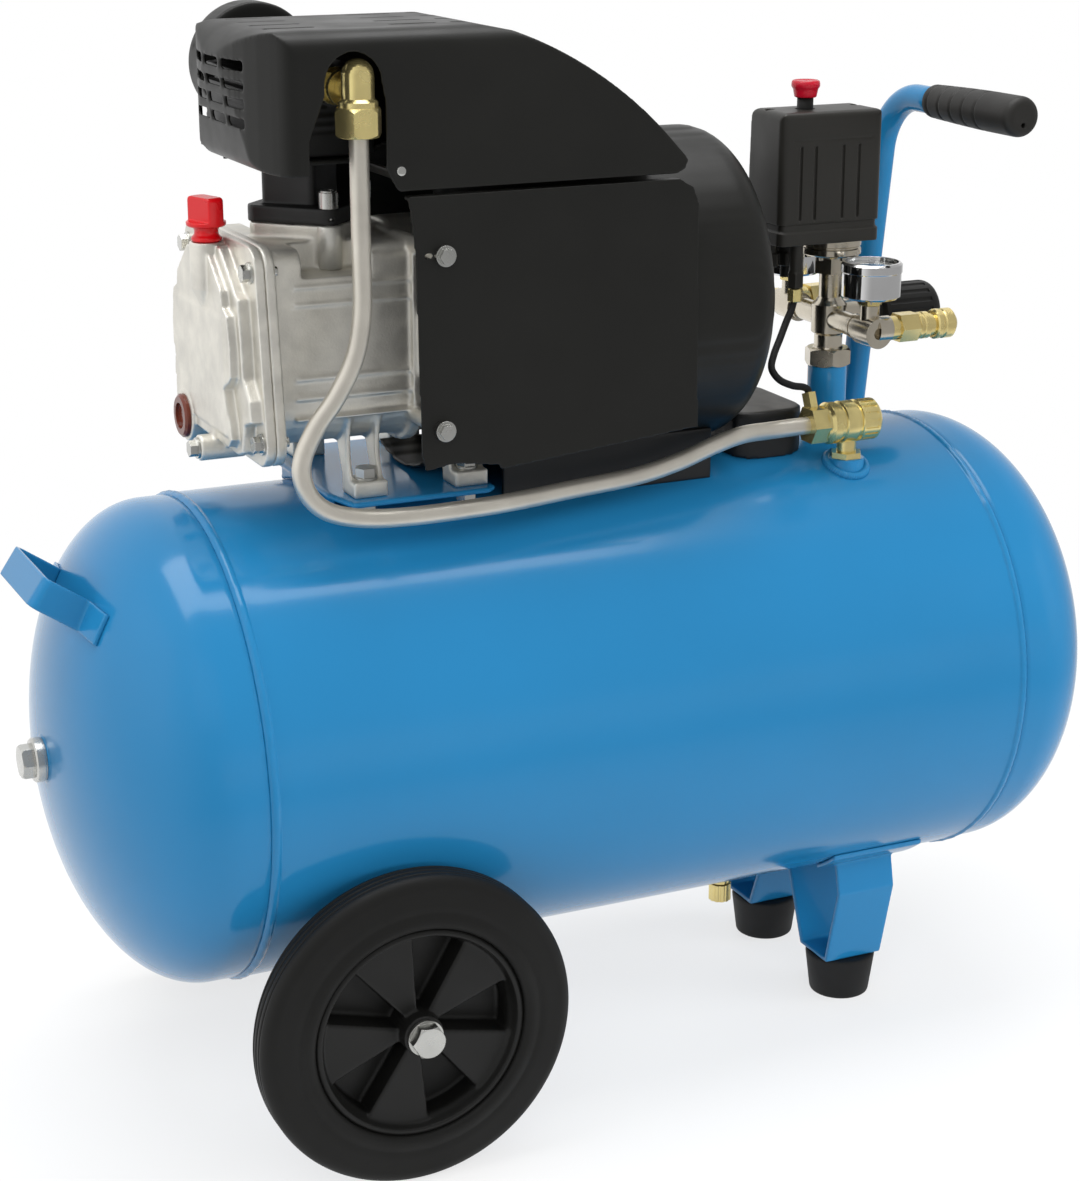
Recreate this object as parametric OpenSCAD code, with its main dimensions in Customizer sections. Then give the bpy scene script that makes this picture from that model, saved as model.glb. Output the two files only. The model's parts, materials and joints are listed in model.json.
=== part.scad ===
// Wheeled workshop air compressor: a lying tank on two wheels and two rubber feet,
// with a direct-drive piston pump, a pressure switch and a two-outlet manifold.
// X runs along the tank, +X to the handle end. Y is across it. Z is up from the floor.

/* [Tank] */
// Outer diameter of the tank shell
tank_d = 310; // [290:1:320]
// Length of the straight shell between its seams
shell_l = 529; // [500:1:560]
// Sheet thickness of the shell and ends
tank_wall = 2.5; // [2:0.5:4]
// Straight skirt of each end outside its seam
skirt_l = 15; // [8:1:25]
// Depth of each dome beyond its skirt
dome_h = 81; // [65:1:95]
// Height of the tank's axis above the floor
axis_z = 246.3; // [240:0.1:260]
// Half-width of the weld bead along each seam
bead_r = 3.2; // [2:0.2:4]

/* [Wheels] */
// Diameter of the tyre
tyre_d = 202; // [180:2:210]
// Width of the tyre
tyre_w = 32; // [28:1:42]
// Outer diameter of the plastic rim
rim_d = 136; // [120:2:146]
// Position of the axle along the tank, from its middle
axle_x = -181; // [-200:1:-160]
// Gap between the tank's widest part and the inner side of a tyre
wheel_gap = -8; // [-8:1:20]
// Diameter of the axle bolts
axle_d = 12; // [10:1:14]
// Number of raised spokes on a rim
spokes = 5; // [3:1:8]

/* [Feet] */
// Position of the feet along the tank, from its middle
foot_x = 190; // [170:1:210]
// Half the distance between the two feet
foot_y = 54; // [45:1:65]
// Height of a rubber foot
foot_h = 31; // [24:1:38]
// Diameter of a foot at its top
foot_d = 49; // [40:1:56]
// Width of the sheet strip that holds a foot
foot_strip_w = 45; // [36:1:60]
// Thickness of the sheet brackets
sheet_t = 3; // [2:0.5:4]

/* [Handle] */
// Diameter of the handle tube
handle_d = 18; // [16:1:24]
// Height of the grip's axis above the top of the tank
grip_up = 220.7; // [190:0.1:250]
// Length of the rubber grip
grip_l = 102; // [90:1:120]
// Diameter of the grip at its free end
grip_d = 26; // [23:1:34]
// Lean of the handle tube away from the pump, in degrees
handle_lean = 5.4; // [0:0.2:10]
// Bend radius of the handle tube
handle_bend = 38; // [30:1:50]

/* [Pump] */
// Height of the crankshaft and motor axis above the mounting plate
crank_up = 92; // [90:0.5:98]
// Cylinder axis along the tank, from its middle
cyl_x = -176; // [-178:0.5:-174]
// Cylinder bore
bore_d = 48; // [42:1:50]
// Crank throw, half of the piston's stroke
crank_r = 15; // [12:1:16]
// Distance between the connecting rod's two eyes
rod_l = 44; // [43:1:48]
// Height of the top of the mounting plate above the tank
deck_up = 6.7; // [5:0.1:12]
// Thickness of the mounting plate
deck_t = 3.5; // [3:0.5:5]
// Radial clearance of shafts in their bearings
shaft_gap = 0.05; // [0.02:0.01:0.09]

/* [Motor] */
// Outer diameter of the motor's fan shroud
shroud_d = 204; // [190:1:210]
// Height of the shroud's axis above the crankshaft
shroud_up = 11; // [6:1:12]
// Position of the shroud's closed end, from the middle of the tank
shroud_x1 = 103; // [96:1:108]
// Wall of the shroud and cowl
shell_t = 2.5; // [2:0.5:4]
// Diameter of the motor shaft
shaft_d = 20; // [16:1:24]
// Diameter of the cooling fan
fan_d = 168; // [130:2:176]
// Number of fan blades
blades = 11; // [5:1:15]

/* [Cowl] */
// Height of the cowl from its bottom edge to its flat top
cowl_h = 92; // [88:1:104]
// Front face of the cowl, from the pump's axis
cowl_front = 104; // [100:1:108]
// Back face of the cowl, from the pump's axis
cowl_back = 50; // [46:1:60]
// Nose of the cowl, from the middle of the tank
cowl_nose = -245; // [-250:1:-242]

/* [Switch and manifold] */
// Position of the riser along the tank, from its middle
riser_x = 195.5; // [190:0.5:202]
// Height of the manifold's arms above the top of the tank
arm_up = 76.2; // [72:0.1:84]
// Half the length of the manifold's arms
arm_l = 62; // [58:1:72]
// Diameter of the manifold's arms
arm_d = 15; // [13:0.5:18]
// Diameter of a gauge case
gauge_d = 40.5; // [38:0.5:44]
// Bore of each quick coupler
coupler_bore_d = 9; // [7:0.5:10]
// Width of the pressure switch
switch_w = 77; // [70:1:84]
// Depth of the pressure switch
switch_dp = 47; // [42:1:52]
// Height of the switch's lid above its base
switch_h = 73; // [60:1:80]

/* [Check valve and pipes] */
// Position of the check valve along the tank, from its middle
valve_x = 177; // [172:1:182]
// Distance of the check valve in front of the tank's centre line
valve_y = 58; // [54:1:62]
// Diameter of the discharge tube
tube_d = 11.5; // [9:0.5:13]

/* [Hidden] */

$fn = 64;
eps = 0.02;
tank_r = tank_d / 2;
seam_x = shell_l / 2;
tip_x = seam_x + skirt_l + dome_h;
top_z = axis_z + tank_r;
bottom_z = axis_z - tank_r;
end_r = tank_r - 0.8;

plug_washer_t = 7;
plug_hex_t = 7.5;
deck_z = top_z + deck_up;
crank_z = deck_z + crank_up;
arm_z = top_z + arm_up;
grip_z = top_z + grip_up;

left_reach = tip_x + plug_washer_t + plug_hex_t;
// Moves the model so that its bounding box is centred on the origin
x_shift = (left_reach - tip_x) / 2;

tyre_r = tyre_d / 2;
rim_r = rim_d / 2;
axle_z = tyre_r;
axle_r = axle_d / 2;
wheel_in = tank_r + wheel_gap;
wheel_mid = wheel_in + tyre_w / 2;
hub_out = wheel_mid + 17;
hub_in = wheel_mid - 17;
bracket_y = wheel_in - 9;
wheel_strip_w = 46;

foot_seat = foot_h;

handle_r = handle_d / 2;
handle_x = seam_x - 27.5;
handle_y = 35;
handle_z0 = axis_z + sqrt(tank_r * tank_r - handle_y * handle_y);
handle_run = (grip_z - handle_z0) / cos(handle_lean);

rod_w = 10;
pin_gap = 0.5;
web_x0 = cyl_x + rod_w / 2 + pin_gap + 4;
web_t = 8;
shaft_r = shaft_d / 2;
bore_r = bore_d / 2;
pin_z = crank_z - crank_r + rod_l;
piston_top = pin_z + 11;
liner_top = crank_z + crank_r + rod_l + 11.5;
plate_z = liner_top;
plate_t = 10;
head_z = plate_z + plate_t;
cowl_bottom = crank_z + 98;
roof_z = cowl_bottom + cowl_h;
nose_bottom = cowl_bottom + 12;
neck_z = nose_bottom + shell_t + 0.5;
head_top = roof_z - 26;
case_x0 = -229;
case_x1 = -128;
case_y = 60;
case_half = 62;
cover_flange_t = 6;
cover_x = -250;
bearing_r = 21;
stator_r = 62;
stator_x0 = -96;
stator_x1 = -16;
bell_x1 = 14;
rotor_r = 35.7;
shroud_r = shroud_d / 2;
shroud_z = crank_z + shroud_up;
shroud_x0 = -122;
shroud_round = 22;
fan_x = 48;
fan_w = 24;

panel_y = cowl_front - 1;
panel_t = 2;
arch_x = -184.5;
arch_r = 17;
arch_top = roof_z - 12;
elbow_x = -178.5;
elbow_y = -94;
elbow_z = roof_z - 25.7;
nut_z = elbow_z - 18.3;

riser_d = 26.6;
riser_top = arm_z - 32.5;
switch_z = arm_z + 54.5;
switch_x = 181;
switch_y = 1.5;
gauge_y = 51.5;
gauge_z = arm_z + 22.5;
gauge_h = 24;
coupler_y = arm_l - 4;
valve_z = top_z + 18.2;
valve_base = axis_z + sqrt(tank_r * tank_r - valve_y * valve_y);
drain_x = 121;

// Points of a circular arc, from angle a0 to a1
function arc(cx, cy, r, a0, a1, n = 10) =
    [for (i = [0:n]) let (a = a0 + (a1 - a0) * i / n) [cx + r * cos(a), cy + r * sin(a)]];

module xcyl(r, x0, x1) translate([x0, 0, 0]) rotate([0, 90, 0]) cylinder(r = r, h = x1 - x0);
module ycyl(r, y0, y1) translate([0, y0, 0]) rotate([-90, 0, 0]) cylinder(r = r, h = y1 - y0);
module xhex(af, x0, x1) translate([x0, 0, 0]) rotate([0, 90, 0]) rotate([0, 0, 30])
    cylinder(r = af / sqrt(3), h = x1 - x0, $fn = 6);
module yhex(af, y0, y1) translate([0, y0, 0]) rotate([-90, 0, 0])
    cylinder(r = af / sqrt(3), h = y1 - y0, $fn = 6);
module zhex(af, z0, z1) translate([0, 0, z0]) cylinder(r = af / sqrt(3), h = z1 - z0, $fn = 6);
module place() translate([x_shift, 0, 0]) children();
module at_crank() translate([0, 0, crank_z]) children();
// The children as drawn and mirrored across the centre line
module both_y() {
    children();
    mirror([0, 1, 0]) children();
}
// Everything inside the tank's outer cylinder, for cutting brackets to its curve
module tank_body(grow = 0) translate([0, 0, axis_z]) xcyl(tank_r + grow, -seam_x - 60, seam_x + 60);
// An outline in Y and Z, drawn out along X
module along_x(x0, x1) translate([x0, 0, 0]) rotate([90, 0, 90]) linear_extrude(x1 - x0) children();
// An outline in X and Z, drawn out along Y
module along_y(y0, y1) translate([0, y1, 0]) rotate([90, 0, 0]) linear_extrude(y1 - y0) children();
module round_rect(x0, y0, x1, y1, r) polygon(concat(
    arc(x1 - r, y1 - r, r, 0, 90, 8), arc(x0 + r, y1 - r, r, 90, 180, 8),
    arc(x0 + r, y0 + r, r, 180, 270, 8), arc(x1 - r, y0 + r, r, 270, 360, 8)));

// ---- Tank ----

// Half outline of a domed end: radius and distance from the seam, grown by g
function dome_outline(g = 0) = concat([[end_r + g, 0], [end_r + g, skirt_l]],
    [for (i = [1:20]) let (a = 90 * i / 20) [(end_r + g) * cos(a), skirt_l + (dome_h + g) * sin(a)]]);

module dome_solid(g = 0) rotate([0, 90, 0]) rotate_extrude($fn = 96)
    polygon(concat([[0, 0]], dome_outline(g)));

module dome(plugged) difference() {
    union() {
        dome_solid();
        if (plugged) xcyl(15.5, skirt_l + dome_h - 8, skirt_l + dome_h);
    }
    translate([-eps, 0, 0]) dome_solid(-tank_wall);
    if (plugged) xcyl(9, skirt_l, tip_x);
}

// Weld bead round the shell, just inside its seam
module seam_bead(side) translate([side * (seam_x - bead_r), 0, 0]) rotate([0, 90, 0])
    rotate_extrude($fn = 96) translate([tank_r - 2, 0]) circle(r = bead_r, $fn = 24);

module tank_shell() color("dodgerblue") place() difference() {
    union() {
        translate([0, 0, axis_z]) {
            xcyl(tank_r, -seam_x, seam_x);
            seam_bead(-1);
            seam_bead(1);
        }
        translate([valve_x, -valve_y, axis_z]) cylinder(r = 12, h = valve_base + 5 - axis_z);
        translate([valve_x, -valve_y, axis_z]) cylinder(r = 15, h = valve_base - 1 - axis_z);
        translate([drain_x, 0, bottom_z - 5]) cylinder(r = 12, h = 20);
    }
    translate([0, 0, axis_z]) xcyl(tank_r - tank_wall, -seam_x - 1, seam_x + 1);
    translate([valve_x, -valve_y, axis_z]) cylinder(r = 5, h = tank_r);
    translate([riser_x, 0, axis_z]) cylinder(r = 9, h = tank_r + 1);
    translate([drain_x, 0, 0]) cylinder(r = 3.5, h = axis_z);
}

module tank_dome_left() color("dodgerblue") place()
    translate([-seam_x, 0, axis_z]) mirror([1, 0, 0]) dome(true);

module tank_dome_right() color("dodgerblue") place() translate([seam_x, 0, axis_z]) dome(false);

module riser_pipe() color("dodgerblue") place() difference() {
    union() {
        translate([riser_x, 0, axis_z + 140]) cylinder(r = riser_d / 2, h = riser_top - axis_z - 140);
        translate([riser_x, 0, axis_z + 140])
            cylinder(r1 = riser_d / 2 + 18, r2 = riser_d / 2, h = top_z + 3 - axis_z - 140);
    }
    tank_body();
    translate([riser_x, 0, axis_z]) cylinder(r = 9.5, h = 300);
}

module end_plug() color("silver") place() translate([-tip_x, 0, axis_z]) mirror([1, 0, 0]) {
    rotate([0, 90, 0]) rotate_extrude()
        polygon([[0, 0], [13, 0], [13, 1.2], [14, 1.2], [14, plug_washer_t - 1],
                 [13, plug_washer_t], [0, plug_washer_t]]);
    intersection() {
        xhex(19, plug_washer_t, plug_washer_t + plug_hex_t);
        rotate([0, 90, 0]) cylinder(r1 = 18, r2 = 10, h = plug_washer_t + plug_hex_t);
    }
    xcyl(8.9, -8, 0);
}

bracket_pitch = 34.5;
bracket_w = 19.6;
bracket_half = 39.5;
// Where the carry bracket meets the dome, as an angle from the dome's rim
bracket_at = 42.9;
bracket_lug_x = -seam_x - skirt_l - dome_h * sin(bracket_at) - 26.4;
bracket_lug_z = axis_z + end_r * cos(bracket_at) + 15.2;

// Strip bent into a U and welded to the left dome, leaning up and outwards
module bracket_frame() translate([bracket_lug_x, 0, bracket_lug_z]) rotate([0, bracket_pitch, 0])
    children();

module carry_bracket() color("dodgerblue") place() difference() {
    union() {
        bracket_frame() translate([0, 0, -bracket_w]) linear_extrude(bracket_w) difference() {
            round_rect(0, -bracket_half, 70, bracket_half, 6);
            round_rect(sheet_t, -bracket_half + sheet_t, 80, bracket_half - sheet_t, 3);
        }
        intersection() {
            translate([-seam_x, 0, axis_z]) mirror([1, 0, 0]) dome_solid(sheet_t);
            bracket_frame() both_y() translate([0, bracket_half - sheet_t, -bracket_w])
                cube([80, 24, bracket_w]);
        }
    }
    translate([-seam_x, 0, axis_z]) mirror([1, 0, 0]) dome_solid();
}

// ---- Handle ----

module handle_frame() translate([handle_x, handle_y, handle_z0]) rotate([0, handle_lean, 0])
    children();

// The handle's path with radius r: up, round the bend, then towards the front
module handle_path(r) {
    translate([0, 0, -30]) cylinder(r = r, h = handle_run - handle_bend + 30);
    translate([0, -handle_bend, handle_run - handle_bend]) rotate([90, 0, 90])
        rotate_extrude(angle = 90, $fn = 96) translate([handle_bend, 0]) circle(r = r, $fn = 32);
    translate([0, 0, handle_run]) ycyl(r, -handle_bend - 19 - grip_l + 8, -handle_bend);
}

module handle_tube() color("dodgerblue") place() difference() {
    handle_frame() difference() {
        handle_path(handle_r);
        handle_path(handle_r - 1.8);
    }
    tank_body();
}

groove_at = [0.06, 0.2, 0.34, 0.48, 0.62];
grip_r0 = handle_r + 2;

// Radius of the grip at a share t of its length
function grip_r(t) = grip_r0 + (grip_d / 2 - grip_r0) * sin(min(90, 110 * t));

module grip_profile() polygon(concat([[0, 0], [grip_r(0) - 1.2, 0], [grip_r(0), 1.2]],
    [for (g = groove_at) for (k = [[-0.01, 0], [-0.006, 1.2], [0.006, 1.2], [0.01, 0]])
        [grip_r(g + k[0]) - k[1], (g + k[0]) * grip_l]],
    arc(grip_r(1) - 6, grip_l - 6, 6, 0, 90, 6), [[0, grip_l]]));

module handle_grip() color("#262625") place() handle_frame() translate([0, 0, handle_run])
    translate([0, -handle_bend - 19, 0]) rotate([90, 0, 0]) difference() {
        rotate_extrude() grip_profile();
        translate([0, 0, -1]) cylinder(r = handle_r + 0.05, h = grip_l - 7);
        translate([0, -5, grip_l - 12]) cylinder(r = 1.6, h = 20);
    }

// ---- Running gear ----

// Inner bottom of the strip, clear of the tank and of the axle nuts
strip_z = min(bottom_z - 7, axle_z - 14.7);

module wheel_bracket() color("dodgerblue") place() difference() {
    along_x(axle_x - wheel_strip_w / 2, axle_x + wheel_strip_w / 2) difference() {
        round_rect(-bracket_y - 4, strip_z - 4, bracket_y + 4, axis_z - 20, 12);
        round_rect(-bracket_y, strip_z, bracket_y, axis_z + 20, 8);
    }
    tank_body();
    translate([axle_x, 0, axle_z]) ycyl(axle_r + 0.2, -tank_d, tank_d);
}

// One bolt with its washer, spacer and nut, on the +Y side
module axle_bolt() translate([axle_x, 0, axle_z]) {
    ycyl(axle_r, bracket_y - 12, hub_out + 5);
    ycyl(11.4, hub_out + 0.35, hub_out + 2.6);
    ycyl(10, bracket_y + 4, hub_in - 0.35);
    intersection() {
        yhex(19, hub_out + 2.6, hub_out + 10);
        translate([0, hub_out, 0]) rotate([-90, 0, 0]) cylinder(r1 = 19, r2 = 9.5, h = 10);
    }
    yhex(19, bracket_y - 10, bracket_y);
}

tread_r = 10;

// Half outline of the tyre on one side of its middle, from the rim to the tread
function tyre_side(h) = concat([[rim_r, h - 4]], arc(rim_r + 12, h - 10, 10, 125, 90, 4),
    arc(tyre_r - tread_r, h - tread_r, tread_r, 90, 0, 8));

function flip(points) = [for (i = [len(points) - 1:-1:0]) [points[i][0], -points[i][1]]];

module tyre() difference() {
    rotate_extrude($fn = 96) polygon(concat(flip(tyre_side(tyre_w / 2)), tyre_side(tyre_w / 2)));
    for (g = [-5.5, 0, 5.5]) translate([0, 0, g]) rotate_extrude($fn = 96)
        translate([tyre_r - 1.8, -0.8]) square([4, 1.6]);
}

rim_w = tyre_w - 8;
spoke_share = 0.54;

// A wedge between two radii, centred on the X axis
module wedge(r0, r1, half) polygon(concat(arc(0, 0, r1, -half, half, 8), arc(0, 0, r0, half, -half, 2)));

// Plastic rim: barrel, back web, hub, and deep boxed spokes
module rim() difference() {
    union() {
        rotate_extrude($fn = 96) polygon([[rim_r - 6, -rim_w / 2], [rim_r, -rim_w / 2], [rim_r, rim_w / 2],
            [rim_r - 2.5, rim_w / 2 + 1.5], [rim_r - 4, rim_w / 2 + 1.5], [rim_r - 6, rim_w / 2 - 4],
            [rim_r - 8, 4], [rim_r - 8, -10]]);
        translate([0, 0, -13]) cylinder(r = rim_r - 4, h = 4);
        translate([0, 0, hub_in - wheel_mid]) cylinder(r = 13, h = hub_out - hub_in);
        for (i = [0:spokes - 1]) rotate([0, 0, 360 * i / spokes + 112]) translate([0, 0, -10])
            linear_extrude(17.3) wedge(9, rim_r - 3, spoke_share * 180 / spokes);
    }
    for (i = [0:spokes - 1]) rotate([0, 0, 360 * i / spokes + 112]) translate([0, 0, -14])
        linear_extrude(18.5) wedge(22, rim_r - 11, spoke_share * 180 / spokes - 5);
    translate([0, 0, -40]) cylinder(r = axle_r + shaft_gap, h = 80);
}

module on_axle(side) place() translate([axle_x, side * wheel_mid, axle_z]) rotate([-90 * side, 0, 0])
    children();

module front_tyre() color("#1d1d1c") on_axle(-1) tyre();
module front_rim() color("#262625") on_axle(-1) rim();
module rear_tyre() color("#1d1d1c") on_axle(1) tyre();
module rear_rim() color("#262625") on_axle(1) rim();

leg_h = bottom_z - foot_seat;

// Outline of a foot's strip in Y and Z, from its seat up into the tank, set in by g
function strip_outline(g) = [[foot_y - 18 + g, foot_seat + g], [foot_y + 18 - g, foot_seat + g],
    [foot_y + 32 - g, foot_seat + leg_h - 3], [foot_y + 26 - g, foot_seat + leg_h + 24],
    [foot_y + 26 - g, axis_z + g], [g, axis_z + g], [8 + g, bottom_z + 12], [12 + g, bottom_z]];

// Sheet strip round one foot, from the tank down to its seat and up again
module foot_strip() along_x(foot_x - foot_strip_w / 2, foot_x + foot_strip_w / 2) difference() {
    polygon(strip_outline(0));
    polygon(strip_outline(sheet_t));
}

// Curved flanges that weld the strip to the tank
module foot_flange(y0, y1) intersection() {
    difference() {
        tank_body(sheet_t);
        tank_body();
    }
    translate([foot_x - foot_strip_w / 2 - 13, y0, 0])
        cube([foot_strip_w + 26, y1 - y0, axis_z]);
}

module foot_bracket() color("dodgerblue") place() difference() {
    both_y() union() {
        foot_strip();
        foot_flange(foot_y + 21, foot_y + 44);
        foot_flange(3, 14);
    }
    tank_body();
    for (s = [-1, 1]) translate([foot_x, s * foot_y, 0]) cylinder(r = 4.2, h = foot_seat + 9);
}

module rubber_feet() color("#1f1f1e") place() for (s = [-1, 1]) translate([foot_x, s * foot_y, 0])
    difference() {
        rotate_extrude() polygon(concat([[0, 0], [foot_d / 2 - 5.5, 0]],
            arc(foot_d / 2 - 5.5, 2, 2, -90, 0, 4),
            [[foot_d / 2, foot_h - 2]], arc(foot_d / 2 - 1.5, foot_h - 1.5, 1.5, 0, 90, 4), [[0, foot_h]]));
        translate([0, 0, -1]) cylinder(r = 9, h = 13);
        cylinder(r = 4.2, h = foot_h + 1);
    }

// Screw up through a rubber foot, with its nut inside the sheet strip
module foot_bolt() translate([foot_x, foot_y, 0]) {
    zhex(13, 7, 12);
    cylinder(r = 4, h = foot_seat + sheet_t + 10);
    zhex(13, foot_seat + sheet_t, foot_seat + sheet_t + 6.5);
}

module chassis_bolts() color("silver") place() both_y() {
    axle_bolt();
    foot_bolt();
}

drain_z = bottom_z - 5;
drain_stem_r = 3;

module drain_valve_body() color("#c8b45a") place() translate([drain_x, 0, 0]) difference() {
    union() {
        zhex(14, drain_z - 9, drain_z);
        translate([0, 0, drain_z - 13]) cylinder(r = 6.5, h = 5);
    }
    translate([0, 0, drain_z - 14]) cylinder(r = drain_stem_r + shaft_gap, h = 10);
}

module drain_knob() color("#c8b45a") place() translate([drain_x, 0, 0]) difference() {
    union() {
        translate([0, 0, drain_z - 26]) cylinder(r = 8, h = 12.4);
        translate([0, 0, drain_z - 14]) cylinder(r = drain_stem_r, h = 9);
    }
    for (i = [0:11]) rotate([0, 0, 30 * i])
        translate([8.6, 0, drain_z - 27]) cylinder(r = 1.2, h = 14, $fn = 16);
    translate([0, 0, drain_z - 27]) cylinder(r = 2, h = 6);
}

// ---- Mounting plate ----

mount_xs = [-165, -98.5];
mount_y = 58;
// Top of the pump's foot blocks
pad_z = deck_z + 10;

module pump_saddle() color("dodgerblue") place() difference() {
    union() {
        translate([0, 0, deck_z - deck_t]) linear_extrude(deck_t) polygon([[-187, -48], [-180, -76],
            [-90, -76], [-84, -70], [-84, 70], [-90, 76], [-180, 76], [-187, 48]]);
        for (x = [-184, -92]) along_x(x, x + deck_t) polygon([[-46, deck_z - deck_t],
            [46, deck_z - deck_t], [50, top_z - 25], [-50, top_z - 25]]);
    }
    tank_body();
    for (x = mount_xs, s = [-1, 1]) translate([x, s * mount_y, deck_z - 30]) cylinder(r = 4.4, h = 40);
}

// Bolt through a foot of the pump and the plate, with its nut below
module mount_bolt() {
    translate([0, 0, pad_z]) {
        cylinder(r = 7.2, h = 1.6);
        zhex(12, 1.6, 7.4);
    }
    translate([0, 0, deck_z - deck_t - 9.5]) cylinder(r = 4, h = pad_z - deck_z + deck_t + 10.5);
    zhex(12, deck_z - deck_t - 6.5, deck_z - deck_t);
}

module mount_bolts() color("silver") place()
    for (x = mount_xs, s = [-1, 1]) translate([x, s * mount_y, 0]) mount_bolt();

// Steel cradle that carries the motor's far end on the tank, with a rubber-cased junction box
module rear_mount() color("#2b2b2b") place() difference() {
    union() {
        along_x(68, 76) polygon([[-56, top_z - 40], [56, top_z - 40], [56, crank_z - 60], [-56,
            crank_z - 60]]);
        both_y() along_x(-72, 70) polygon([[52, top_z - 40], [56, top_z - 40], [56, crank_z - 60],
            [52, crank_z - 60]]);
        translate([0, 0, top_z - 40]) linear_extrude(66) round_rect(100, -42, 158, 42, 18);
    }
    tank_body();
    translate([0, 0, shroud_z]) xcyl(shroud_r, -80, shroud_x1 + 1);
}

// ---- Crankcase ----

web_r = 25;
neck_x = cyl_x - 6;
neck_half = 18;
// Height of the cylinder's seat above the crankshaft
seat_z = liner_top - crank_z;
cavity_r = 50;
cavity_x1 = web_x0 + web_t + 3;
seat_x0 = -150;
seat_x1 = -136;
cup_r = stator_r + 6;
rib_zs = [39, 28.5, -16, -28, -41];
// Bolt places on the cover: Y and Z from the crankshaft, and length of the boss under the head
cover_bolts = [[-60, 50, 0], [-72, -50, 0], [-18, -62, 23], [60, 50, 0], [72, -50, 0]];
head_bolts = [[cyl_x, -34], [cyl_x, 34], [cyl_x + 34, 0]];
// Places of the side panel's two bolts: X, and Z from the crankshaft
panel_bolt_at = [[-131.2, 60], [-132.4, -44.7]];

// Outline across the crankshaft from z0 to z1 above it, with corners of rb below and rt above
module case_outline(y, z0, z1, rb, rt) polygon(concat(
    arc(y - rt, z1 - rt, rt, 0, 90, 8), arc(rt - y, z1 - rt, rt, 90, 180, 8),
    arc(rb - y, z0 + rb, rb, 180, 270, 8), arc(y - rb, z0 + rb, rb, 270, 360, 8)));

// Outline of the joint between the crankcase and its cover, wider at its foot
module flange_outline() polygon(concat(arc(66, -50, 15, -90, 0, 8), arc(54, 50, 15, 0, 90, 8),
    arc(-54, 50, 15, 90, 180, 8), arc(-66, -50, 15, 180, 270, 8)));

// Square that stands on its corner in plan, as the cylinder does
module diamond(half, r) rotate([0, 0, 45]) round_rect(-half, -half, half, half, r);

// Foot block of the crankcase with two curved webs up to the body
module case_foot(x) {
    translate([x - 11, -mount_y - 9, deck_z]) cube([22, 22, pad_z - deck_z]);
    for (w = [x - 11, x + 7.6]) along_x(w, w + 3.4) polygon(concat([[-mount_y - 5, pad_z - 1]],
        arc(-98, pad_z + 20, 44, -26, 26, 6), [[-mount_y, pad_z + 46], [-30, pad_z + 46],
        [-30, pad_z + 36], [-46, pad_z - 1]]));
}

module case_body() {
    difference() {
        along_x(case_x0 + 7, case_x1) case_outline(case_y, -case_half, case_half - 1, 34, 10);
        both_y() translate([-203, -80, 44]) cube([43, 48, 30]);
    }
    along_x(case_x0, case_x0 + 7) flange_outline();
    translate([0, cover_bolts[2][0], cover_bolts[2][1]]) xcyl(8, case_x0, case_x0 + 7);
    along_x(case_x1 - 7, case_x1) case_outline(64, -case_half - 4, case_half + 2, 34, 12);
    for (z = rib_zs) translate([-209, -case_y - 2.2, z - 0.8]) cube([80, 2 * case_y + 4.4, 1.6]);
    translate([cyl_x, 0, 40]) linear_extrude(seat_z - 40) diamond(29, 7);
    xcyl(cup_r, case_x1 - 4, -80);
    for (b = panel_bolt_at) translate([b[0], 0, b[1]]) ycyl(5, -panel_y, -30);
}

module crankcase() color("lightgray") place() difference() {
    union() {
        at_crank() case_body();
        both_y() for (x = mount_xs) case_foot(x);
    }
    at_crank() {
        xcyl(cavity_r, case_x0 - 1, cavity_x1);
        xcyl(shaft_r + 1, cavity_x1 - 1, case_x1);
        xcyl(bearing_r, seat_x0, case_x1);
        xcyl(46, seat_x1, case_x1 - 6);
        xcyl(stator_r, case_x1 - 6.5, -79);
        translate([cyl_x, 0, bearing_r + 3]) cylinder(r = bore_r + 2, h = 100);
        for (b = head_bolts) translate([b[0], b[1], 54]) cylinder(r = 4, h = 30);
        for (b = cover_bolts) translate([0, b[0], b[1]]) xcyl(3, case_x0 - 1, case_x0 + 10.5);
        for (b = panel_bolt_at) translate([b[0], 0, b[1]]) ycyl(3, -panel_y - 1, -panel_y + 12);
    }
    for (x = mount_xs, s = [-1, 1]) translate([x, s * mount_y, deck_z - 1]) cylinder(r = 4.4, h = 14);
}

filler_x = -245;
filler_y = -10;
filler_r = 7.5;
glass_y = 31;
glass_z = -53;
glass_r = 10.5;

// Half outlines of the cover's low body and of its raised face, down its +Y side
cover_low = [[24, 60], [47, 41], [51, 37], [58, 34], [61, 12], [63, -12], [74, -24], [76, -36], [63, -40],
    [58, -58], [50, -61]];
cover_face = [[20, 56], [43, 37], [45, 28], [53, 24], [57, 4], [57, -12], [46, -21], [52, -38], [55, -50],
    [48, -56]];

// Closed outline from one half outline and its mirror image
module both_sides(half) polygon(concat(half, [for (i = [len(half) - 1:-1:0]) [-half[i][0], half[i][1]]]));

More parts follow.
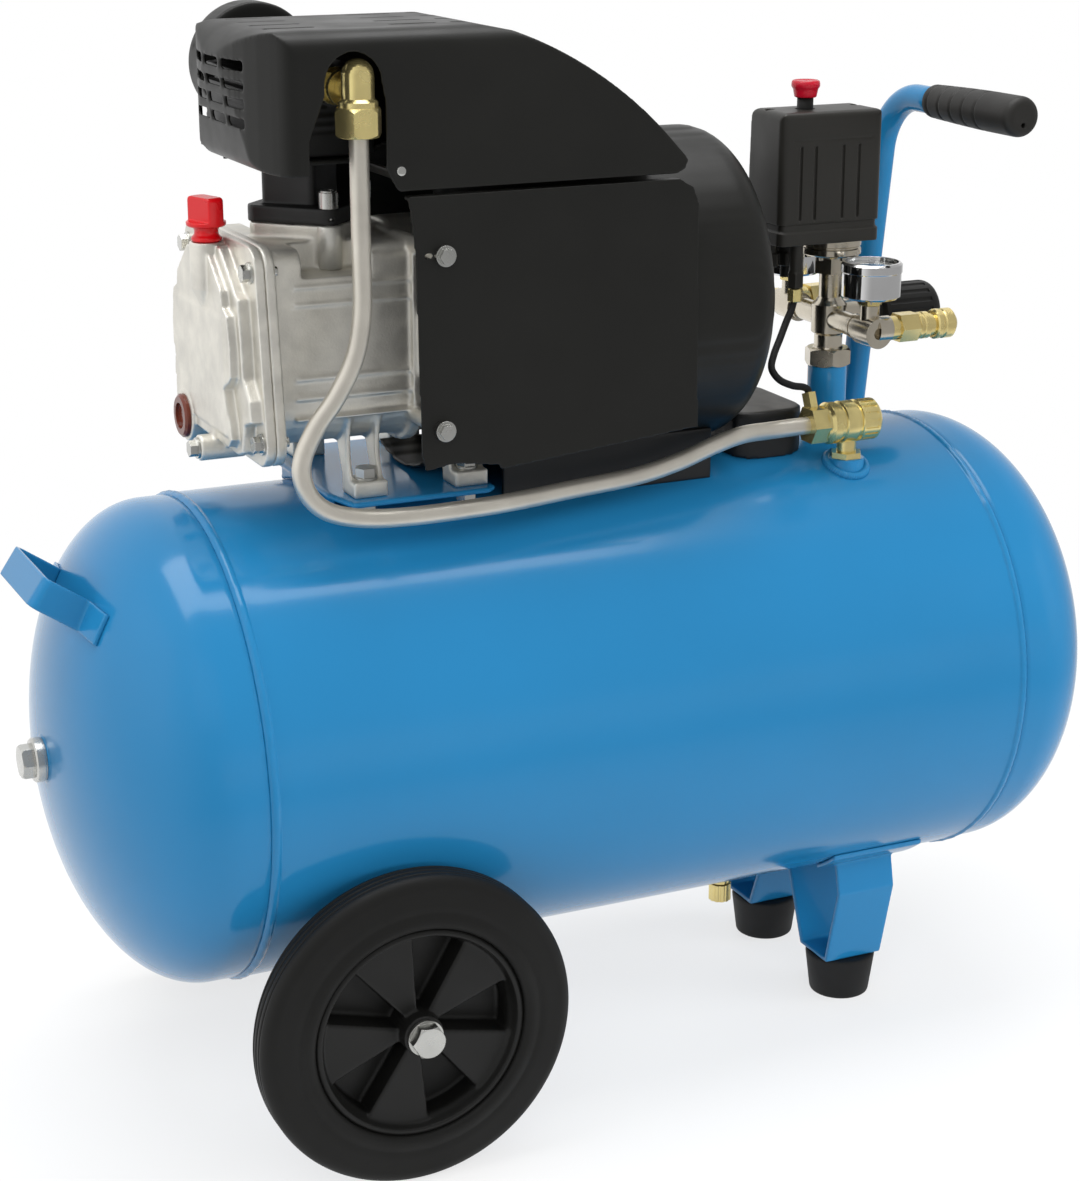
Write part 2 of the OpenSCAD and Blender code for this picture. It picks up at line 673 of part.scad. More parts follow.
module crankcase_cover() color("lightgray") place() at_crank() difference() {
    union() {
        along_x(case_x0 - cover_flange_t, case_x0) flange_outline();
        along_x(cover_x + 7, case_x0) both_sides(cover_low);
        along_x(cover_x + 1.5, case_x0) both_sides(cover_face);
        along_x(cover_x, case_x0) intersection() {
            both_sides(cover_face);
            translate([-50, -49]) square([100, 71]);
        }
        translate([filler_x, filler_y, 34]) cylinder(r = filler_r + 3, h = case_half - 34);
        translate([filler_x, filler_y, 16]) cylinder(r1 = 2, r2 = filler_r + 3, h = 18.5);
        for (b = cover_bolts) if (b[2] > 0) translate([0, b[0], b[1]])
            xcyl(8, case_x0 - cover_flange_t - b[2], case_x0);
        translate([0, glass_y, glass_z]) xcyl(glass_r + 5.5, cover_x - 1, case_x0);
    }
    xcyl(cavity_r - 6, cover_x + 6, case_x0 + 1);
    translate([filler_x, filler_y, case_half - 17]) cylinder(r = filler_r + shaft_gap, h = 60);
    translate([filler_x, filler_y, 34]) cylinder(r = 4, h = 12);
    for (b = cover_bolts) translate([0, b[0], b[1]]) xcyl(3, cover_x - 20, case_x0 + 1);
    translate([0, glass_y, glass_z]) xcyl(glass_r, cover_x - 3, cover_x + 8);
    along_x(cover_x + 7, case_x0 + 1) polygon([[25, -54], [37, -50], [27, -32], [17, -38]]);
}

module sight_glass() color("#7c3b2c") place() at_crank() translate([0, glass_y, glass_z]) {
    xcyl(glass_r, cover_x - 2.4, cover_x + 8);
    rotate([0, 90, 0]) translate([0, 0, cover_x - 4.5]) rotate_extrude()
        polygon([[8.2, 0], [12, 0], [glass_r + 3.2, 1.4], [glass_r + 3.2, 3.5], [8.2, 3.5]]);
}

module socket_bolt(r, h, depth) difference() {
    union() {
        cylinder(r = r, h = h - 1);
        cylinder(r = r - 0.9, h = h);
        translate([0, 0, -depth]) cylinder(r = r * 2 / 3, h = depth + 1);
    }
    translate([0, 0, h - 5]) cylinder(r = r * 0.55, h = 6, $fn = 6);
}

module flange_bolt() {
    ycyl(6.3, -panel_y - 5.6, -panel_y - 2);
    yhex(8.6, -panel_y - 9, -panel_y - 5);
    ycyl(3, -panel_y - 3, -panel_y + 12);
}

module pump_bolts() color("silver") place() {
    for (b = head_bolts) translate([b[0], b[1], head_z]) socket_bolt(6, 10.6, 26);
    at_crank() for (b = cover_bolts) translate([case_x0 - cover_flange_t - b[2], b[0], b[1]])
        rotate([0, -90, 0]) {
            cylinder(r = 6.5, h = 1.4);
            translate([0, 0, 1.4]) cylinder(r = 9 / sqrt(3), h = 4.6, $fn = 6);
            translate([0, 0, -16 - b[2]]) cylinder(r = 3, h = 17 + b[2]);
        }
    at_crank() for (b = panel_bolt_at) translate([b[0], 0, b[1]]) flange_bolt();
}

module cylinder_liner() color("gray") place() translate([cyl_x, 0, 0]) difference() {
    translate([0, 0, crank_z + web_r + 4]) cylinder(r = bore_r + 2, h = liner_top - crank_z - web_r - 4);
    translate([0, 0, crank_z]) cylinder(r = bore_r, h = 100);
}

// Black valve plate with the neck that carries the head
module valve_plate() color("#2a2a2a") place() difference() {
    union() {
        translate([cyl_x, 0, plate_z]) {
            linear_extrude(3) diamond(30, 8);
            translate([0, 0, 3]) linear_extrude(1.2) diamond(29.2, 7.5);
            translate([0, 0, 4.2]) linear_extrude(plate_t - 4.2) diamond(30, 8);
        }
        translate([neck_x, 0, head_z - 1]) linear_extrude(neck_z - head_z + 1) diamond(neck_half, 4);
    }
    for (b = head_bolts) translate([b[0], b[1], plate_z - 1]) cylinder(r = 4, h = 20);
}

head_fins = 7;
head_y0 = -52;
head_y1 = 44;
outlet_z = roof_z - 35;

module cylinder_head() color("lightgray") place() {
    translate([0, 0, neck_z]) linear_extrude(14) round_rect(-228, head_y0, -150, head_y1, 10);
    translate([0, 0, neck_z]) linear_extrude(head_top - neck_z)
        round_rect(-222, head_y0 + 5, -156, head_y1 - 5, 8);
    for (i = [0:head_fins - 1]) translate([0, 0, neck_z + 17 + 5.1 * i]) linear_extrude(2.2)
        round_rect(-228, head_y0, -150, head_y1, 10);
    translate([elbow_x, 0, outlet_z]) ycyl(11, head_y0 - 4, head_y0 + 6);
}

filter_x = -189;
filter_z = roof_z - 32;
filter_r = 37.5;

module air_filter() color("#2a2a29") place() translate([filter_x, 0, filter_z]) difference() {
    union() {
        rotate([-90, 0, 0]) rotate_extrude($fn = 96) polygon(concat([[0, 52], [filter_r - 2, 52]],
            arc(filter_r - 2, 54, 2, -90, 0, 4), [[filter_r, 70]],
            arc(filter_r - 6, 72, 6, 0, 90, 6), [[0, 78]]));
        ycyl(11, head_y1, 53);
    }
    for (i = [0:19]) rotate([0, 18 * i, 0]) translate([24, 55, -1]) cube([20, 12, 2]);
    rotate([-90, 0, 0]) rotate_extrude() translate([26, 76.6]) square([1.6, 3]);
}

// ---- Cowl over the pump and motor ----

roof_bend_x = -105;
roof_drop_x = -84.5;
roof_arc_cx = -176.8;
roof_arc_cz = roof_z - 257.3;
roof_arc_r = 270;

// Plan of the cowl's nose: one wide arc between a tight front corner and a round back corner
nose_r = 150;
nose_cx = cowl_nose + nose_r;
nose_cy = -27;
front_r = 12;
back_r = 45;
front_a = asin((cowl_front - front_r + nose_cy) / (nose_r - front_r));
back_a = asin((cowl_back - back_r - nose_cy) / (nose_r - back_r));
front_cx = nose_cx - (nose_r - front_r) * cos(front_a);
back_cx = nose_cx - (nose_r - back_r) * cos(back_a);

// Side outline of the cowl, set in by g; behind its nose it is open downwards by b
function cowl_side(g, b) = concat(
    [[roof_drop_x - 1, roof_z - 3.6 - g]],
    arc(roof_bend_x, roof_z - 60, 60 - g, 88, 90, 1),
    arc(cowl_nose + 20, roof_z - 20, 20 - g, 90, 176, 8),
    arc(cowl_nose + 17, nose_bottom + 10, 10 - g, 184, 270, 6),
    b == 0 ? [[-167, nose_bottom], [-167, nose_bottom + 5], [-159.5, cowl_bottom + 2], [-157, cowl_bottom],
              [22, cowl_bottom], [27.5, cowl_bottom + 2.5]]
           : [[-163, nose_bottom + g], [-154, cowl_bottom - b], [27, cowl_bottom - b]],
    arc(roof_arc_cx, roof_arc_cz, roof_arc_r - g, 40, 70, 20));

function cowl_plan(g) = concat(
    arc(nose_cx, nose_cy, nose_r - g, 180, 178 + front_a, 6),
    arc(front_cx, front_r - cowl_front, front_r - g, 180 + front_a, 270, 6),
    [[60, -cowl_front + g], [60, cowl_back - g]],
    arc(back_cx, cowl_back - back_r, back_r - g, 90, 180 - back_a, 8),
    arc(nose_cx, nose_cy, nose_r - g, 182 - back_a, 178, 3));

function cowl_section(g, b) = concat([[-cowl_front + g, cowl_bottom - 20 - b]],
    arc(-cowl_front + 14, roof_z - 14, 14 - g, 180, 90, 6), arc(cowl_back - 45, roof_z - 45, 45 - g,
        90, 0, 12),
    [[cowl_back - g, cowl_bottom - 20 - b]]);

module cowl_solid(g, b) intersection() {
    along_y(-cowl_front - 1, cowl_back + 1) polygon(cowl_side(g, b));
    translate([0, 0, cowl_bottom - 40]) linear_extrude(cowl_h + 60) polygon(cowl_plan(g));
    along_x(-300, 60) polygon(cowl_section(g, b));
}

louver_zs = [for (i = [0:3]) nose_bottom + 24.5 + 10.8 * i];
louver_ys = [-70, -40, -10];
roof_louvers = [[-226, -196], [-150, -122], [-112, -88]];

module top_cowl() color("#232322") place() difference() {
    cowl_solid(0, 0);
    cowl_solid(shell_t, 40);
    translate([0, 0, shroud_z]) xcyl(shroud_r, shroud_x0 - 1, 60);
    along_y(-cowl_front - 1, -60) polygon(concat([[arch_x + arch_r + 2, cowl_bottom - 8],
        [arch_x + arch_r + 2, nut_z + 4]], arc(arch_x, arch_top - arch_r, arch_r, 0, 180, 14),
        [[arch_x - arch_r, nut_z + 9], [arch_x - arch_r - 10, nut_z - 16], [arch_x - arch_r - 10,
            cowl_bottom - 8]]));
    translate([neck_x, 0, cowl_bottom]) linear_extrude(30) diamond(neck_half + 1, 4);
    for (z = louver_zs, y = louver_ys) translate([cowl_nose - 2, y, z]) cube([24, 26, 5]);
    for (g = roof_louvers, i = [0:3]) translate([g[0], -74 + 24 * i, roof_z - 8])
        cube([g[1] - g[0], 3, 12]);
    translate([-236, 16, cowl_bottom - 13]) cube([96, 60, cowl_h - 6]);
    translate([-157, -cowl_front - 1, nose_bottom]) rotate([-90, 0, 0]) cylinder(r = 3, h = 3);
}

// ---- Motor shroud and side panel ----

grille_step = 9;

function shroud_outline(g) = concat([[0, shroud_x0 - g], [shroud_r - g, shroud_x0 - g]],
    arc(shroud_r - shroud_round, shroud_x1 - shroud_round, shroud_round - g, 0, 90, 10), [[0,
        shroud_x1 - g]]);

module shroud_solid(g) translate([0, 0, shroud_z]) rotate([0, 90, 0]) rotate_extrude($fn = 96)
    polygon(shroud_outline(g));

// Ring between two radii, from x0 to x1
module xring(r0, r1, x0, x1) rotate([0, 90, 0]) translate([0, 0, x0]) rotate_extrude($fn = 96)
    translate([r0, 0]) square([r1 - r0, x1 - x0]);

module motor_shroud() color("#262625") place() difference() {
    union() {
        difference() {
            shroud_solid(0);
            shroud_solid(shell_t);
        }
        intersection() {
            shroud_solid(1);
            for (a = [25:90:295]) translate([0, 0, crank_z]) rotate([a, 0, 0])
                translate([-14, -3, cup_r]) cube([20, 6, 60]);
        }
    }
    for (r = [20:grille_step:83]) translate([0, 0, shroud_z]) difference() {
        xring(r, r + grille_step - 3.4, shroud_x1 - 4, shroud_x1 + 1);
        for (a = [0:60:120]) rotate([a, 0, 0]) translate([shroud_x1 - 5, -90, -2.5]) cube([8, 180, 5]);
    }
    both_y() translate([shroud_x0 - 1, 36, deck_z]) cube([mount_xs[1] + 14 - shroud_x0, 36, 58]);
}

module side_panel() color("#262625") place() at_crank() difference() {
    union() {
        along_y(-panel_y - panel_t, -panel_y) polygon([[-153, 95], [24, 95], [33, 90], [37, 80], [39, -60],
            [-96, -73], [-96, -70], [-126, -66], [-144, -69], [-146.5, -59], [-149, 63]]);
        along_y(-panel_y - panel_t, -panel_y + 6) polygon([[-153, 95], [24, 95], [24, 92.5], [-153, 92.5]]);
    }
    for (b = panel_bolt_at) translate([b[0], 0, b[1]]) ycyl(3, -panel_y - 3, -panel_y + 1);
    translate([panel_bolt_at[0][0] - 12, -panel_y - 3, panel_bolt_at[0][1] - 1.2]) cube([5, 4, 2.4]);
}

// ---- Motor ----

module motor_stator() color("silver") place() translate([0, 0, crank_z]) {
    difference() {
        xcyl(stator_r, stator_x0, stator_x1);
        xcyl(rotor_r + 0.6, stator_x0 - 1, stator_x1 + 1);
        for (i = [0:23]) rotate([15 * i, 0, 0]) translate([stator_x0 - 1, -1.6, rotor_r])
            cube([82, 3.2, 14]);
    }
    for (x = [stator_x0 - 11, stator_x1]) xring(40, 56, x, x + 11);
}

module motor_end_bell() color("lightgray") place() translate([0, 0, crank_z]) difference() {
    union() {
        xcyl(cup_r, -30, bell_x1);
        xcyl(bearing_r + 5, bell_x1 - 2, bell_x1 + 5);
        for (a = [0:45:315]) rotate([a, 0, 0]) translate([-26, cup_r - 2, -2]) cube([36, 4, 4]);
    }
    xcyl(stator_r, -31, bell_x1 - 6);
    xcyl(bearing_r, bell_x1 - 8, bell_x1 + 3);
    xcyl(shaft_r + 2, 0, bell_x1 + 6);
    for (a = [22.5:45:360]) rotate([a, 0, 0]) translate([bell_x1 - 8, 44, 0]) xcyl(7, 0, 12);
}

module bearing_ring(x0, w) difference() {
    rotate([0, 90, 0]) translate([0, 0, x0]) rotate_extrude()
        polygon([[9, 0], [bearing_r - 5, 0], [bearing_r - 5, 0.8],
        [bearing_r - 4, 0.8], [bearing_r - 4, 0], [bearing_r, 0], [bearing_r, w], [9, w]]);
    xcyl(shaft_r + shaft_gap, x0 - 1, x0 + w + 1);
}

module bearings() color("silver") place() translate([0, 0, crank_z]) {
    bearing_ring(seat_x0, 14);
    bearing_ring(bell_x1 - 6, 9);
}

cap_r = 18;
cap_z = shroud_z + shroud_r + cap_r;

module capacitor() color("#e8e6e0") place() translate([-112, 10, cap_z]) {
    rotate([0, 90, 0]) rotate_extrude() polygon([[0, 0], [cap_r - 1, 0], [cap_r, 1], [cap_r, 77],
        [cap_r - 3, 80],
        [cap_r - 3, 82], [0, 82]]);
    for (y = [-7, 7]) translate([81, y - 3, -0.4]) cube([7, 6, 0.8]);
    for (x = [18, 58]) translate([x, -5, -cap_r]) cube([6, 10, 3]);
}

// ---- Moving parts of the pump and motor ----

module crankshaft() color("silver") place() translate([0, 0, crank_z]) {
    xcyl(web_r, web_x0, web_x0 + web_t);
    translate([0, 0, -crank_r]) xcyl(7, web_x0 - 4, web_x0 + 1);
    xcyl(shaft_r, web_x0 + web_t - 1, fan_x + fan_w);
    xcyl(rotor_r, stator_x0 + 1, stator_x1 - 1);
    for (x = [stator_x0 - 4, stator_x1 - 1]) xring(rotor_r - 10, rotor_r - 1, x, x + 5);
}

module cooling_fan() color("#2c2c2c") place() translate([0, 0, crank_z]) difference() {
    union() {
        xcyl(24, fan_x, fan_x + fan_w);
        xcyl(fan_d / 2 - 18, fan_x, fan_x + 2.5);
        for (i = [0:blades - 1]) rotate([360 * i / blades, 0, 0])
            translate([fan_x, 0, 20]) rotate([0, 0, 28]) translate([0, -1.25, 0])
                cube([fan_w, 2.5, fan_d / 2 - 23]);
    }
    xcyl(shaft_r, fan_x - 1, fan_x + fan_w + 1);
    xcyl(20, fan_x + 18, fan_x + fan_w + 1);
}

wrist_r = 4.4;

module piston() color("lightgray") place() translate([cyl_x, 0, 0]) difference() {
    union() {
        difference() {
            translate([0, 0, piston_top - 22]) cylinder(r = bore_r - shaft_gap, h = 22);
            translate([0, 0, piston_top - 23]) cylinder(r = bore_r - 4, h = 19);
            translate([7, -30, piston_top - 23]) cube([30, 60, 12.5]);
        }
        for (x = [-9, 5.4]) translate([x, -6, pin_z - 4.4]) cube([3.6, 12, 13]);
        translate([0, 0, pin_z]) xcyl(wrist_r, -9, 8.6);
    }
    for (z = [4, 8]) translate([0, 0, piston_top - z]) rotate_extrude($fn = 96)
        translate([bore_r - 0.8, 0]) square([2, 1.4]);
}

module connecting_rod() color("gray") place() translate([cyl_x - rod_w / 2, 0, 0]) difference() {
    union() {
        translate([0, 0, crank_z - crank_r]) xcyl(12.5, 0, rod_w);
        translate([0, 0, pin_z]) xcyl(6.8, 0, rod_w);
        along_x(1.5, rod_w - 1.5) polygon([[-9, crank_z - crank_r + 6], [9, crank_z - crank_r + 6],
            [6, pin_z - 4], [-6, pin_z - 4]]);
    }
    translate([0, 0, crank_z - crank_r]) xcyl(7.5, -1, rod_w + 1);
    translate([0, 0, pin_z]) xcyl(wrist_r, -1, rod_w + 1);
}

// ---- Delivery pipe and check valve ----

elbow_r = 9.6;

// Union nut under the elbow
module tube_nut() translate([elbow_x, elbow_y, nut_z]) difference() {
    intersection() {
        zhex(24.4, -16.5, 0.5);
        rotate_extrude() polygon([[0, -16.5], [12, -16.5], [14.1, -14.5], [14.1, -2], [12.2, 0.5], [0,
            0.5]]);
    }
    translate([0, 0, -20]) cylinder(r = tube_d / 2 + 0.1, h = 24);
}

module discharge_elbow() color("#c8b45a") place() {
    difference() {
        union() {
            translate([elbow_x, 0, outlet_z]) {
                ycyl(11, head_y0 - 7, head_y0 - 4);
                ycyl(7, elbow_y, head_y0 - 4);
                ycyl(10.5, elbow_y + 20, elbow_y + 24);
                rotate([-90, 0, 0]) translate([0, 0, head_y0 - 13]) cylinder(r = 12.5 / sqrt(3)
                    + 2, h = 6, $fn = 6);
            }
            translate([elbow_x, elbow_y, nut_z]) rotate_extrude()
                polygon(concat([[0, 0], [elbow_r + 1.9, 0],
                [elbow_r + 1.9, 3.6], [elbow_r, 5.4]], arc(0, elbow_z - nut_z, elbow_r, 0, 90, 8)));
        }
        translate([elbow_x, elbow_y, nut_z - 1]) cylinder(r = tube_d / 2, h = 8);
    }
    tube_nut();
}

// Centre line of the delivery pipe, from the elbow down to the check valve
pipe_points = [[-178.5, -94, nut_z + 7], [-178.5, -94, nut_z - 30], [-178.7, -94.5, crank_z + 66],
    [-179, -95, crank_z + 30], [-184, -95, crank_z + 3], [-196, -95, crank_z - 20], [-209, -95,
        crank_z - 37],
    [-218, -95.5, crank_z - 54], [-219, -96, crank_z - 68], [-213, -96.5, crank_z - 81], [-201, -97,
        deck_z + 2],
    [-180, -97, deck_z - 3.5], [-153, -97, deck_z - 5.5], [-120, -97, deck_z - 5.5], [-86, -95, deck_z - 5],
    [-40, -87, deck_z - 4], [7, -82, deck_z - 2], [40, -78, deck_z + 3], [66, -74, deck_z + 9.4],
    [91, -68, valve_z + 1.4], [118, -60, valve_z], [valve_x - 29, -valve_y, valve_z]];

function spline(a, b, c, d, t) = b + (c - a) * t / 2 + (2 * a - 5 * b + 4 * c - d) * t * t / 2
    + (3 * b - a - 3 * c + d) * t * t * t / 2;

// Smooth curve through the points with n steps between each two
function smooth(p, n) = [for (i = [0:len(p) - 2], k = [0:n - 1]) spline(p[max(0, i - 1)], p[i], p[i + 1],
    p[min(len(p) - 1, i + 2)], k / n), p[len(p) - 1]];

function unit(v) = v / norm(v);

// Ring of n points round the curve at step i, square to it; side is roughly across the curve
function ring(p, i, r, n, side) = let (t = unit(p[min(i + 1, len(p) - 1)] - p[max(i - 1, 0)]),
    u = unit(side - (side * t) * t), w = cross(t, u)) [for (k = [0:n - 1]) p[i] + r * (u * cos(360 * k / n)
    + w * sin(360 * k / n))];

// Round pipe along a curve
module pipe(p, r, n, side) polyhedron(
    points = [for (i = [0:len(p) - 1]) each ring(p, i, r, n, side)],
    faces = concat([[for (k = [0:n - 1]) k]], [[for (k = [0:n - 1]) len(p) * n - 1 - k]],
        [for (i = [0:len(p) - 2], k = [0:n - 1]) [i * n + k, (i + 1) * n + k, (i + 1) * n + (k + 1) % n,
            i * n + (k + 1) % n]]));

module discharge_tube() color("gainsboro") place() pipe(smooth(pipe_points, 3), tube_d / 2, 20, [0, 1, 0]);

module check_valve() color("#c8b45a") place() translate([valve_x, -valve_y, 0]) {
    translate([0, 0, valve_base + 5]) cylinder(r = 6.5, h = valve_z - valve_base - 5);
    zhex(19, valve_base + 5, valve_base + 9);
    translate([0, 0, valve_z]) difference() {
        union() {
            xhex(22.5, -31, -19);
            rotate([0, 90, 0]) translate([0, 0, -20]) rotate_extrude() polygon([[0, 0], [12, 0], [12, 2],
                [14, 4], [14, 9], [12.6, 10], [12.6, 12.5], [14, 13.5], [14, 22], [12.5, 23],
                [12.5, 24.5], [14, 25.5], [14, 38], [12, 40], [0, 40]]);
        }
        xcyl(tube_d / 2, -33, -28.9);
        for (i = [0:17]) rotate([20 * i, 0, 0]) translate([7, -0.8, 13.3]) cube([9.5, 1.6, 3]);
        xcyl(5.5, 17, 22);
    }
    translate([-24, 6, valve_z + 8]) rotate([-24, 0, 0]) zhex(9, -3, 12);
}

relief_points = [[160, -14, switch_z - 29.2], [159.7, -14, switch_z - 35], [156.5, -16, switch_z - 43],
    [150.5, -20, switch_z - 50], [142, -26.5, switch_z - 60], [134.5, -32, switch_z - 69],
    [130.5, -36.5, switch_z - 77], [134, -41, switch_z - 84], [142, -44.5, switch_z - 88],
    [149.5, -45.3, switch_z - 89.5], [152.6, -46.2, valve_z + 21.3], [153, -46.9, valve_z + 19.3]];

module relief_tube() color("#1e1e1e") place() pipe(smooth(relief_points, 4), 2.4, 12, [1, 0, 0]);

// ---- Pressure switch ----

sw_x0 = switch_x - switch_w / 2;
sw_x1 = switch_x + switch_w / 2;
sw_y0 = switch_y - switch_dp / 2;
sw_y1 = switch_y + switch_dp / 2;
lid_z = switch_z + 14;
lid_top = lid_z + switch_h;
knob_x = 171.5;
gland_x = 152;

module switch_base() color("#2e2d2b") place() {
    translate([0, 0, switch_z]) linear_extrude(9) round_rect(sw_x0, sw_y0, sw_x1, sw_y1, 5);
    translate([0, 0, switch_z + 9]) linear_extrude(5) round_rect(sw_x0 + 1.5, sw_y0 + 1.5, sw_x1 - 1.5,
        sw_y1 - 1.5, 4);
    for (x = [gland_x, gland_x + 14]) translate([x, 10, switch_z]) {
        translate([0, 0, -10]) cylinder(r = 6.4, h = 11);
        zhex(14, -18, -9);
    }
    translate([160, -14, switch_z]) {
        translate([0, 0, -20]) cylinder(r = 4.5, h = 21);
        zhex(10, -29, -19);
    }
}

module switch_cover() color("#32302d") place() difference() {
    intersection() {
        translate([0, 0, lid_z]) linear_extrude(switch_h) round_rect(sw_x0, sw_y0, sw_x1, sw_y1, 5);
        along_x(sw_x0 - 1, sw_x1 + 1) polygon(concat([[sw_y0, lid_z]], arc(sw_y0 + 4, lid_top - 4, 4,
            180, 90, 5),
            arc(sw_y1 - 10, lid_top - 5, 5, 90, 8, 5), [[sw_y1, lid_z]]));
        along_y(sw_y0 - 1, sw_y1 + 1) round_rect(sw_x0, lid_z - 8, sw_x1, lid_top, 5);
    }
    for (x = [14, 25, 46, 58]) translate([sw_x0 + x, sw_y0 - 1, lid_z + 2]) cube([1.8, 3, 49]);
    translate([sw_x0 + 8, sw_y0 - 1, lid_z + 54]) cube([switch_w - 16, 1.8, 1.6]);
    for (x = [sw_x0 + 6, sw_x1 - 6]) translate([x, 6, lid_top - 3]) cylinder(r = 3, h = 4);
    translate([0, 0, lid_z - 1]) linear_extrude(switch_h - 22)
        round_rect(sw_x0 + 3, sw_y0 + 4, sw_x1 - 3, sw_y1 - 5, 3);
    translate([knob_x, 0, lid_z + 8]) cylinder(r = 6.5 + shaft_gap, h = 80);
}

module switch_knob() color("red") place() translate([knob_x, 0, 0]) rotate_extrude()
    polygon(concat([[0, lid_top - 10], [5.5, lid_top - 10], [6.5, lid_top - 9], [6.5, lid_top + 7], [9,
        lid_top + 8]],
        [[9.5, lid_top + 9], [9.5, lid_top + 16]], arc(6.5, lid_top + 16, 3, 0, 90, 6), [[0,
            lid_top + 18.2]]));

// ---- Manifold, gauges and outlets ----

gauge_stem_r = 6.5;
outlet_x = 205.6;
safety_y = arm_l + 5;
coupler_z = arm_z + 2;
needle_pin_r = 1;
spigot_r = 7.5;

module manifold() color("silver") place() translate([riser_x, 0, 0]) difference() {
    union() {
        intersection() {
            rotate([0, 0, 12]) zhex(28, riser_top, arm_z - 20.5);
            translate([0, 0, riser_top]) rotate_extrude() polygon([[0, 0], [14, 0], [16.2, 1.6], [16.2,
                10.4],
                [14, 12], [0, 12]]);
        }
        translate([0, 0, arm_z]) rotate_extrude() polygon([[0, -21.5], [11, -21.5], [9.6, -19.5], [9.6,
            -11.5],
            [12, -9.5], [12, 9.5], [9, 12.5], [7.5, 14.5], [7.5, 31.5], [0, 31.5]]);
        translate([0, 0, arm_z]) {
            ycyl(arm_d / 2, -arm_l, arm_l);
            for (s = [-1, 1]) translate([0, s * gauge_y, 0]) {
                ycyl(10, -arm_l + gauge_y - 2, arm_l - gauge_y - 2);
                ycyl(8.8, -12.5, 12.5);
            }
            both_y() {
                ycyl(8.4, 34, 37);
                ycyl(8.6, arm_l - 1, arm_l + 1.5);
            }
            xcyl(11.5, 0, 20);
            xcyl(9, 20, 20.5);
            xcyl(spigot_r, 20, 44);
        }
        for (s = [-1, 1]) translate([0, s * gauge_y, arm_z]) {
            cylinder(r = gauge_stem_r, h = gauge_z - 3 - arm_z);
            zhex(13, gauge_z - 3.6 - arm_z, gauge_z - arm_z);
        }
        for (s = [-1, 1]) translate([0, s * coupler_y, coupler_z]) xcyl(8.6, 0, outlet_x - riser_x);
        translate([0, 0, arm_z]) ycyl(8.6, arm_l + 1, safety_y);
        translate([0, 0, switch_z]) {
            rotate_extrude() polygon([[0, -13], [12, -13], [13, -11], [19, -11], [20, -10], [20, -6.4],
                [19.2, -5.6], [19.2, -5], [20, -4.2], [20, 0], [0, 0]]);
            zhex(21, -23.5, -11);
            for (a = [-150:60:150]) rotate([0, 0, a]) translate([15.8, 0, -13.4]) cylinder(r = 2.6, h = 3);
        }
    }
    translate([0, 0, arm_z]) ycyl(3.8, -arm_l - 2, -arm_l + 8);
}

module gauge_case(dir) translate([riser_x, dir * gauge_y, 0]) difference() {
    rotate_extrude() polygon([[0, gauge_z], [gauge_d / 2 - 2, gauge_z], [gauge_d / 2 - 0.6, gauge_z + 1.4],
        [gauge_d / 2 - 0.6, gauge_z + 17], [gauge_d / 2, gauge_z + 17.6], [gauge_d / 2,
            gauge_z + gauge_h - 1.4],
        [gauge_d / 2 - 1.4, gauge_z + gauge_h], [gauge_d / 2 - 2.6, gauge_z + gauge_h],
        [gauge_d / 2 - 2.6, gauge_z + 20], [gauge_d / 2 - 3.6, gauge_z + 20],
        [gauge_d / 2 - 3.6, gauge_z + 15], [0, gauge_z + 15]]);
    translate([0, 0, gauge_z + 9]) cylinder(r = needle_pin_r + shaft_gap, h = 20);
}

module gauge_cases() color("#202020") place() for (s = [-1, 1]) gauge_case(s);

module gauge_lenses() color("aliceblue", 0.4) place() for (s = [-1, 1])
    translate([riser_x, s * gauge_y, gauge_z + 20]) cylinder(r = gauge_d / 2 - 2.6, h = 1.6);

// Pointer with its pivot pin, resting at the low end of the scale
module needle(dir) translate([riser_x, dir * gauge_y, gauge_z]) {
    translate([0, 0, 11]) cylinder(r = needle_pin_r, h = 6);
    translate([0, 0, 15.6]) cylinder(r = 2.2, h = 1.8);
    rotate([0, 0, 225]) translate([0, 0, 16]) linear_extrude(0.8)
        polygon([[-5, -1], [-5, 1], [13, 0.4], [13, -0.4]]);
}

module gauge_needle_front() color("black") place() needle(-1);
module gauge_needle_rear() color("black") place() needle(1);

knob_r = 19.75;
knob_x0 = 21;
knob_l = 59.5;
flutes = 18;

module regulator_knob() color("#232323") place() translate([riser_x, 0, arm_z]) difference() {
    rotate([0, 90, 0]) translate([0, 0, knob_x0]) rotate_extrude()
        polygon(concat([[0, 0], [15, 0], [16.5, 1.5],
        [16.5, 12], [knob_r, 14], [knob_r, knob_l - 8]], arc(knob_r - 8, knob_l - 8, 8, 0, 90, 8), [[0,
            knob_l]]));
    for (i = [0:flutes - 1]) rotate([360 * i / flutes, 0, 0]) translate([0, 0, knob_r + 1])
        xcyl(2, knob_x0 + 17, knob_x0 + knob_l - 9);
    xcyl(spigot_r + shaft_gap, knob_x0 - 1, knob_x0 + 27);
}

sleeve_x0 = 240;
sleeve_x1 = 254;

module coupler_body(dir) translate([0, dir * coupler_y, coupler_z]) difference() {
    union() {
        xcyl(8, outlet_x, 213);
        xhex(18, 212, 226);
        rotate([0, 90, 0]) translate([0, 0, 226]) rotate_extrude()
            polygon([[0, -1], [8, -1], [8, 0], [9, 1], [9, 3], [8.4, 3.6],
            [8.4, 4.4], [9, 5], [9, 9], [7.4, 9.5], [7.4, 29], [6.6, 30], [0, 30]]);
    }
    xcyl(coupler_bore_d / 2, 216, 258);
}

module coupler_bodies() color("silver") place() for (s = [-1, 1]) coupler_body(s);

